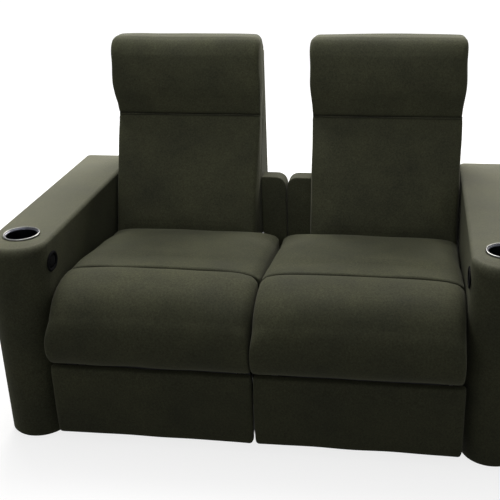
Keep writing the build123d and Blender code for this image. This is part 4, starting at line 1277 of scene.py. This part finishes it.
class SOFA_OT_releases(bpy.types.Operator):
    """Oval release bezels with their domed rockers"""

    bl_idname = "sofa.releases"
    bl_label = "Releases"

    def execute(self, context):
        face = SEAT_LANE
        half, tall = (BEZEL_BOX[1] - BEZEL_BOX[0]).yz / 2
        bend = np.linspace(0, np.pi, BEZEL_ROWS)
        bead, raised = BEZEL_BEAD
        draw = bead * (1 - np.cos(bend))
        rim = list(zip(face - raised * np.sin(bend), half - draw, tall - draw))
        floor = face + POCKET_DEPTH
        rear = floor + POCKET_BACK
        slit = half - tall + OVAL_SLIT, OVAL_SLIT
        pocket = [(floor, half - POCKET_INSET, tall - POCKET_INSET), (floor, *slit)]
        near, far = BEZEL_BODY
        body = [(face, half - near, tall - near), (rear, half - far, tall - far), (rear, *slit)]
        grid = oval_rings(pocket[::-1] + rim[::-1] + body)
        mesh = grid_mesh("right_bezel", grid)
        rigid_pair("bezel", "base", ["release_bezel"], mesh, matt_black())
        inner, low = half - ROCKER_INSET, tall - ROCKER_INSET
        rear, lip = (face + depth for depth in ROCKER_FACES)
        bend = np.linspace(0, np.pi / 2, ROCKER_ROWS)[1:]
        draw = low * ROCKER_FILL * (1 - np.cos(bend))
        dome = list(zip(lip - ROCKER_DOME * np.sin(bend), inner - draw, low - draw))
        closing = (rear, inner - low * ROCKER_FILL, low * (1 - ROCKER_FILL))
        rings = [closing, (rear, inner, low), (lip, inner, low)] + dome
        mesh = grid_mesh("right_rocker", oval_rings(rings))
        rigid_pair("rocker", "release", ["release_lever"], mesh, matt_black())
        return {"FINISHED"}


class SOFA_OT_rear_panels(bpy.types.Operator):
    """Upholstered boards across the rear of the base"""

    bl_idname = "sofa.rear_panels"
    bl_label = "Rear panels"

    def execute(self, context):
        low, high = PANEL_BOX
        rear = high.y + PANEL_PROUD
        corners = polygon((low.y, low.z), (low.y, high.z), (rear, high.z), (rear, low.z))
        loop = closed_curve(corners, PANEL_PROUD, count=160)
        grid = bar_grid(loop, end_stations(low.x, high.x, PANEL_EDGE, puff=0.0, middles=30))
        mesh = grid_mesh("right_rear_cloth", grid)
        rigid_pair("rear_cloth", "base", ["rear_base_panel"], mesh, pile_cloth())
        return {"FINISHED"}


class SOFA_OT_frame_finishes(bpy.types.Operator):
    """Finishes of the frame, linkage and fittings that show as they are"""

    bl_idname = "sofa.frame_finishes"
    bl_label = "Frame finishes"

    def execute(self, context):
        for entry in frame["record"]["subparts"]:
            mesh = frame["nodes"][entry["node"]].data
            covered = entry["node"].endswith(CLOTH_COVERED)
            finish = pile_cloth if covered else SLOT_FINISHES[entry["material_slot"]]
            mesh.materials.clear()
            mesh.materials.append(finish())
        return {"FINISHED"}


# Studio


PLAIN_LIGHT, WARM_LIGHT = (1.0, 1.0, 0.99), (1.0, 0.97, 0.92)
LAMPS = {  # by setting: width and height, spot, what it is turned to, colour and spread
    "ceiling": ((1.4, 1.0), (-0.9, 0.9, 3.4), (-0.1, 0.0, 0.5), PLAIN_LIGHT, np.pi),
    "window": ((3.6, 1.6), (0.0, 2.6, 2.8), (0.0, 0.0, 0.6), WARM_LIGHT, np.pi),
    "front": ((1.6, 0.8), (0.1, -3.2, 2.2), (0.0, 0.3, 1.0), PLAIN_LIGHT, 0.55),
}


def lamp(name, energy, size, spot, aim, colour, spread):
    """Flat lamp of so many watts."""
    data = bpy.data.lights.new(name, "AREA")
    data.spread = spread
    data.shape = "RECTANGLE"
    data.size, data.size_y = size
    data.energy = energy
    data.color = colour
    light = bpy.data.objects.new(name, data)
    light.location = spot
    light.rotation_euler = (Vector(aim) - Vector(spot)).to_track_quat("-Z", "Y").to_euler()
    bpy.context.scene.collection.objects.link(light)


PAINTED_SHADOW_PATCH = (0.70, 0.40)  # half sizes of the painted shadow patch on the floor under the sofa
PAINTED_SHADOW_MIDDLE = (0.0, 0.06)
PAINTED_SHADOW_EDGE = 0.25  # place of the painted shadow's edge on the floor's ramp of greys
# glow of the floor by place on that ramp: a painted shadow under the sofa, white further out
FLOOR_GLOW_AND_PAINTED_SHADOW = ((0.235, 0.02), (PAINTED_SHADOW_EDGE, 0.78), (0.7, 1.0))
FLOOR_HALF = 12.0
WHITE = (1, 1, 1, 1)
CAMERA_SPOT = (0.4202, -2.5168, 1.5539)
CAMERA_YAW = 0.1448
CAMERA_PITCH = 0.4045
CAMERA_ROLL = -0.0211
IMAGE_SIZE = 500.0
IMAGE_MIDDLE = (290.0, 250.0)  # where the lens axis meets the image, in pixels
SENSOR = 36.0


class SOFA_OT_stage(bpy.types.Operator):
    """Pale floor, soft light and the camera"""

    bl_idname = "sofa.stage"
    bl_label = "Studio"

    def execute(self, context):
        stage = context.scene.sofa_stage
        self.floor(stage)
        self.world(stage)
        for name, kind in LAMPS.items():
            lamp(name + "_lamp", getattr(stage, name), *kind)
        self.camera(context, stage)
        context.scene.view_settings.view_transform = "Standard"
        return {"FINISHED"}

    @staticmethod
    def away_from_sofa(finish):
        """A quarter of the greater of |x| and |y|, each divided by half the size of the floor's painted
        shadow patch that way, measured from the patch's middle."""
        scale = PAINTED_SHADOW_EDGE / np.array(PAINTED_SHADOW_PATCH)
        size = finish.node("VectorMath", finish.stretch((*scale, 1), (*(-scale * PAINTED_SHADOW_MIDDLE), 0)))
        size.operation = "ABSOLUTE"
        apart = finish.node("SeparateXYZ", size.outputs["Vector"]).outputs
        return finish.greater(apart["X"], apart["Y"])

    def floor(self, stage):
        """Floor that looks white to the camera, with a painted shadow under the sofa where that glow
        fades, and keeps its cast shadow.
        """
        mesh = bpy.data.meshes.new("floor")
        corners = [(x * FLOOR_HALF, y * FLOOR_HALF, 0) for x, y in ((-1, -1), (1, -1), (1, 1), (-1, 1))]
        mesh.from_pydata(corners, [], [(0, 1, 2, 3)])
        floor = add_piece("floor", mesh)
        finish = Finish("pale_floor").set(Base_Color=(*stage.floor, 1), Roughness=0.9)
        # the floor's glow is painted down to a shadow under the sofa
        greys = [(at, (level,) * 3) for at, level in FLOOR_GLOW_AND_PAINTED_SHADOW]
        glow = finish.node("Emission", Color=finish.ramp(self.away_from_sofa(finish), greys))
        plain = finish.shader.outputs["BSDF"]
        white = finish.node("AddShader", plain, glow.outputs["Emission"]).outputs["Shader"]
        mix = finish.node("MixShader", finish.seen_directly(), plain, white)
        finish.fill(finish.nodes["Material Output"], Surface=mix.outputs["Shader"])
        mesh.materials.append(finish.material)
        floor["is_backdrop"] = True

    @staticmethod
    def world(stage):
        """Even light from all round, in front of a white background."""
        world = bpy.data.worlds.new("studio")
        bpy.context.scene.world = world
        world.use_nodes = True
        studio = Wiring(world.node_tree)
        plain = studio.fill(studio.nodes["Background"], Color=WHITE, Strength=stage.ambient)
        white = studio.node("Background", Color=WHITE, Strength=1.0)
        backgrounds = [node.outputs["Background"] for node in (plain, white)]
        mix = studio.node("MixShader", studio.seen_directly(), *backgrounds)
        studio.fill(studio.nodes["World Output"], Surface=mix.outputs["Shader"])

    @staticmethod
    def camera(context, stage):
        """Camera fitted to the photograph: turned by yaw, tipped down by pitch, then rolled."""
        data = bpy.data.cameras.new("photo_view")
        data.sensor_width = SENSOR
        data.lens = stage.focal * SENSOR / IMAGE_SIZE
        data.shift_x = (IMAGE_SIZE / 2 - IMAGE_MIDDLE[0]) / IMAGE_SIZE
        data.shift_y = (IMAGE_MIDDLE[1] - IMAGE_SIZE / 2) / IMAGE_SIZE
        camera = bpy.data.objects.new("photo_view", data)
        yaw, pitch, roll = CAMERA_YAW, CAMERA_PITCH, CAMERA_ROLL
        ahead = np.array([-np.sin(yaw) * np.cos(pitch), np.cos(yaw) * np.cos(pitch), -np.sin(pitch)])
        right = np.array([np.cos(yaw), np.sin(yaw), 0])
        above = np.cross(right, ahead)
        tilted = np.cos(roll) * right + np.sin(roll) * above
        above = np.cos(roll) * above - np.sin(roll) * right
        turn = Matrix(np.column_stack([tilted, above, -ahead]).tolist()).to_4x4()
        turn.translation = CAMERA_SPOT
        camera.matrix_world = turn
        context.scene.collection.objects.link(camera)
        context.scene.camera = camera


class SOFA_PT_panel(bpy.types.Panel):
    """The sofa's settings and the steps that make it"""

    bl_idname = "SOFA_PT_panel"
    bl_label = "Reclining sofa"
    bl_space_type = "VIEW_3D"
    bl_region_type = "UI"
    bl_category = "Sofa"

    def draw(self, context):
        for group in (context.scene.sofa_cloth, context.scene.sofa_form, context.scene.sofa_stage):
            for name in group.__annotations__:
                self.layout.prop(group, name)
        for operator in OPERATORS:
            self.layout.operator(operator.bl_idname)


GROUPS = {"sofa_cloth": SofaClothSettings, "sofa_form": SofaFormSettings, "sofa_stage": SofaStageSettings}
OPERATORS = [
    SOFA_OT_frame_finishes,
    SOFA_OT_seat_cushions,
    SOFA_OT_front_rolls,
    SOFA_OT_lumbar_pads,
    SOFA_OT_head_pads,
    SOFA_OT_crease_welts,
    SOFA_OT_back_shells,
    SOFA_OT_rear_posts,
    SOFA_OT_footrest_pads,
    SOFA_OT_arms,
    SOFA_OT_cup_holders,
    SOFA_OT_releases,
    SOFA_OT_rear_panels,
    SOFA_OT_stage,
]


def register():
    for group in (*GROUPS.values(), *OPERATORS, SOFA_PT_panel):
        bpy.utils.register_class(group)
    for name, group in GROUPS.items():
        setattr(bpy.types.Scene, name, bpy.props.PointerProperty(type=group))


def unregister():
    for name in GROUPS:
        delattr(bpy.types.Scene, name)
    for group in (SOFA_PT_panel, *reversed(OPERATORS), *GROUPS.values()):
        bpy.utils.unregister_class(group)


def main():
    register()
    for operator in OPERATORS:
        area, name = operator.bl_idname.split(".")
        getattr(getattr(bpy.ops, area), name)()
    boxes = {"cad": CAD_BOX, "visual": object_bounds()}
    {name: [list(corner) for corner in box] for name, box in boxes.items()}


if __name__ == "__main__":
    main()
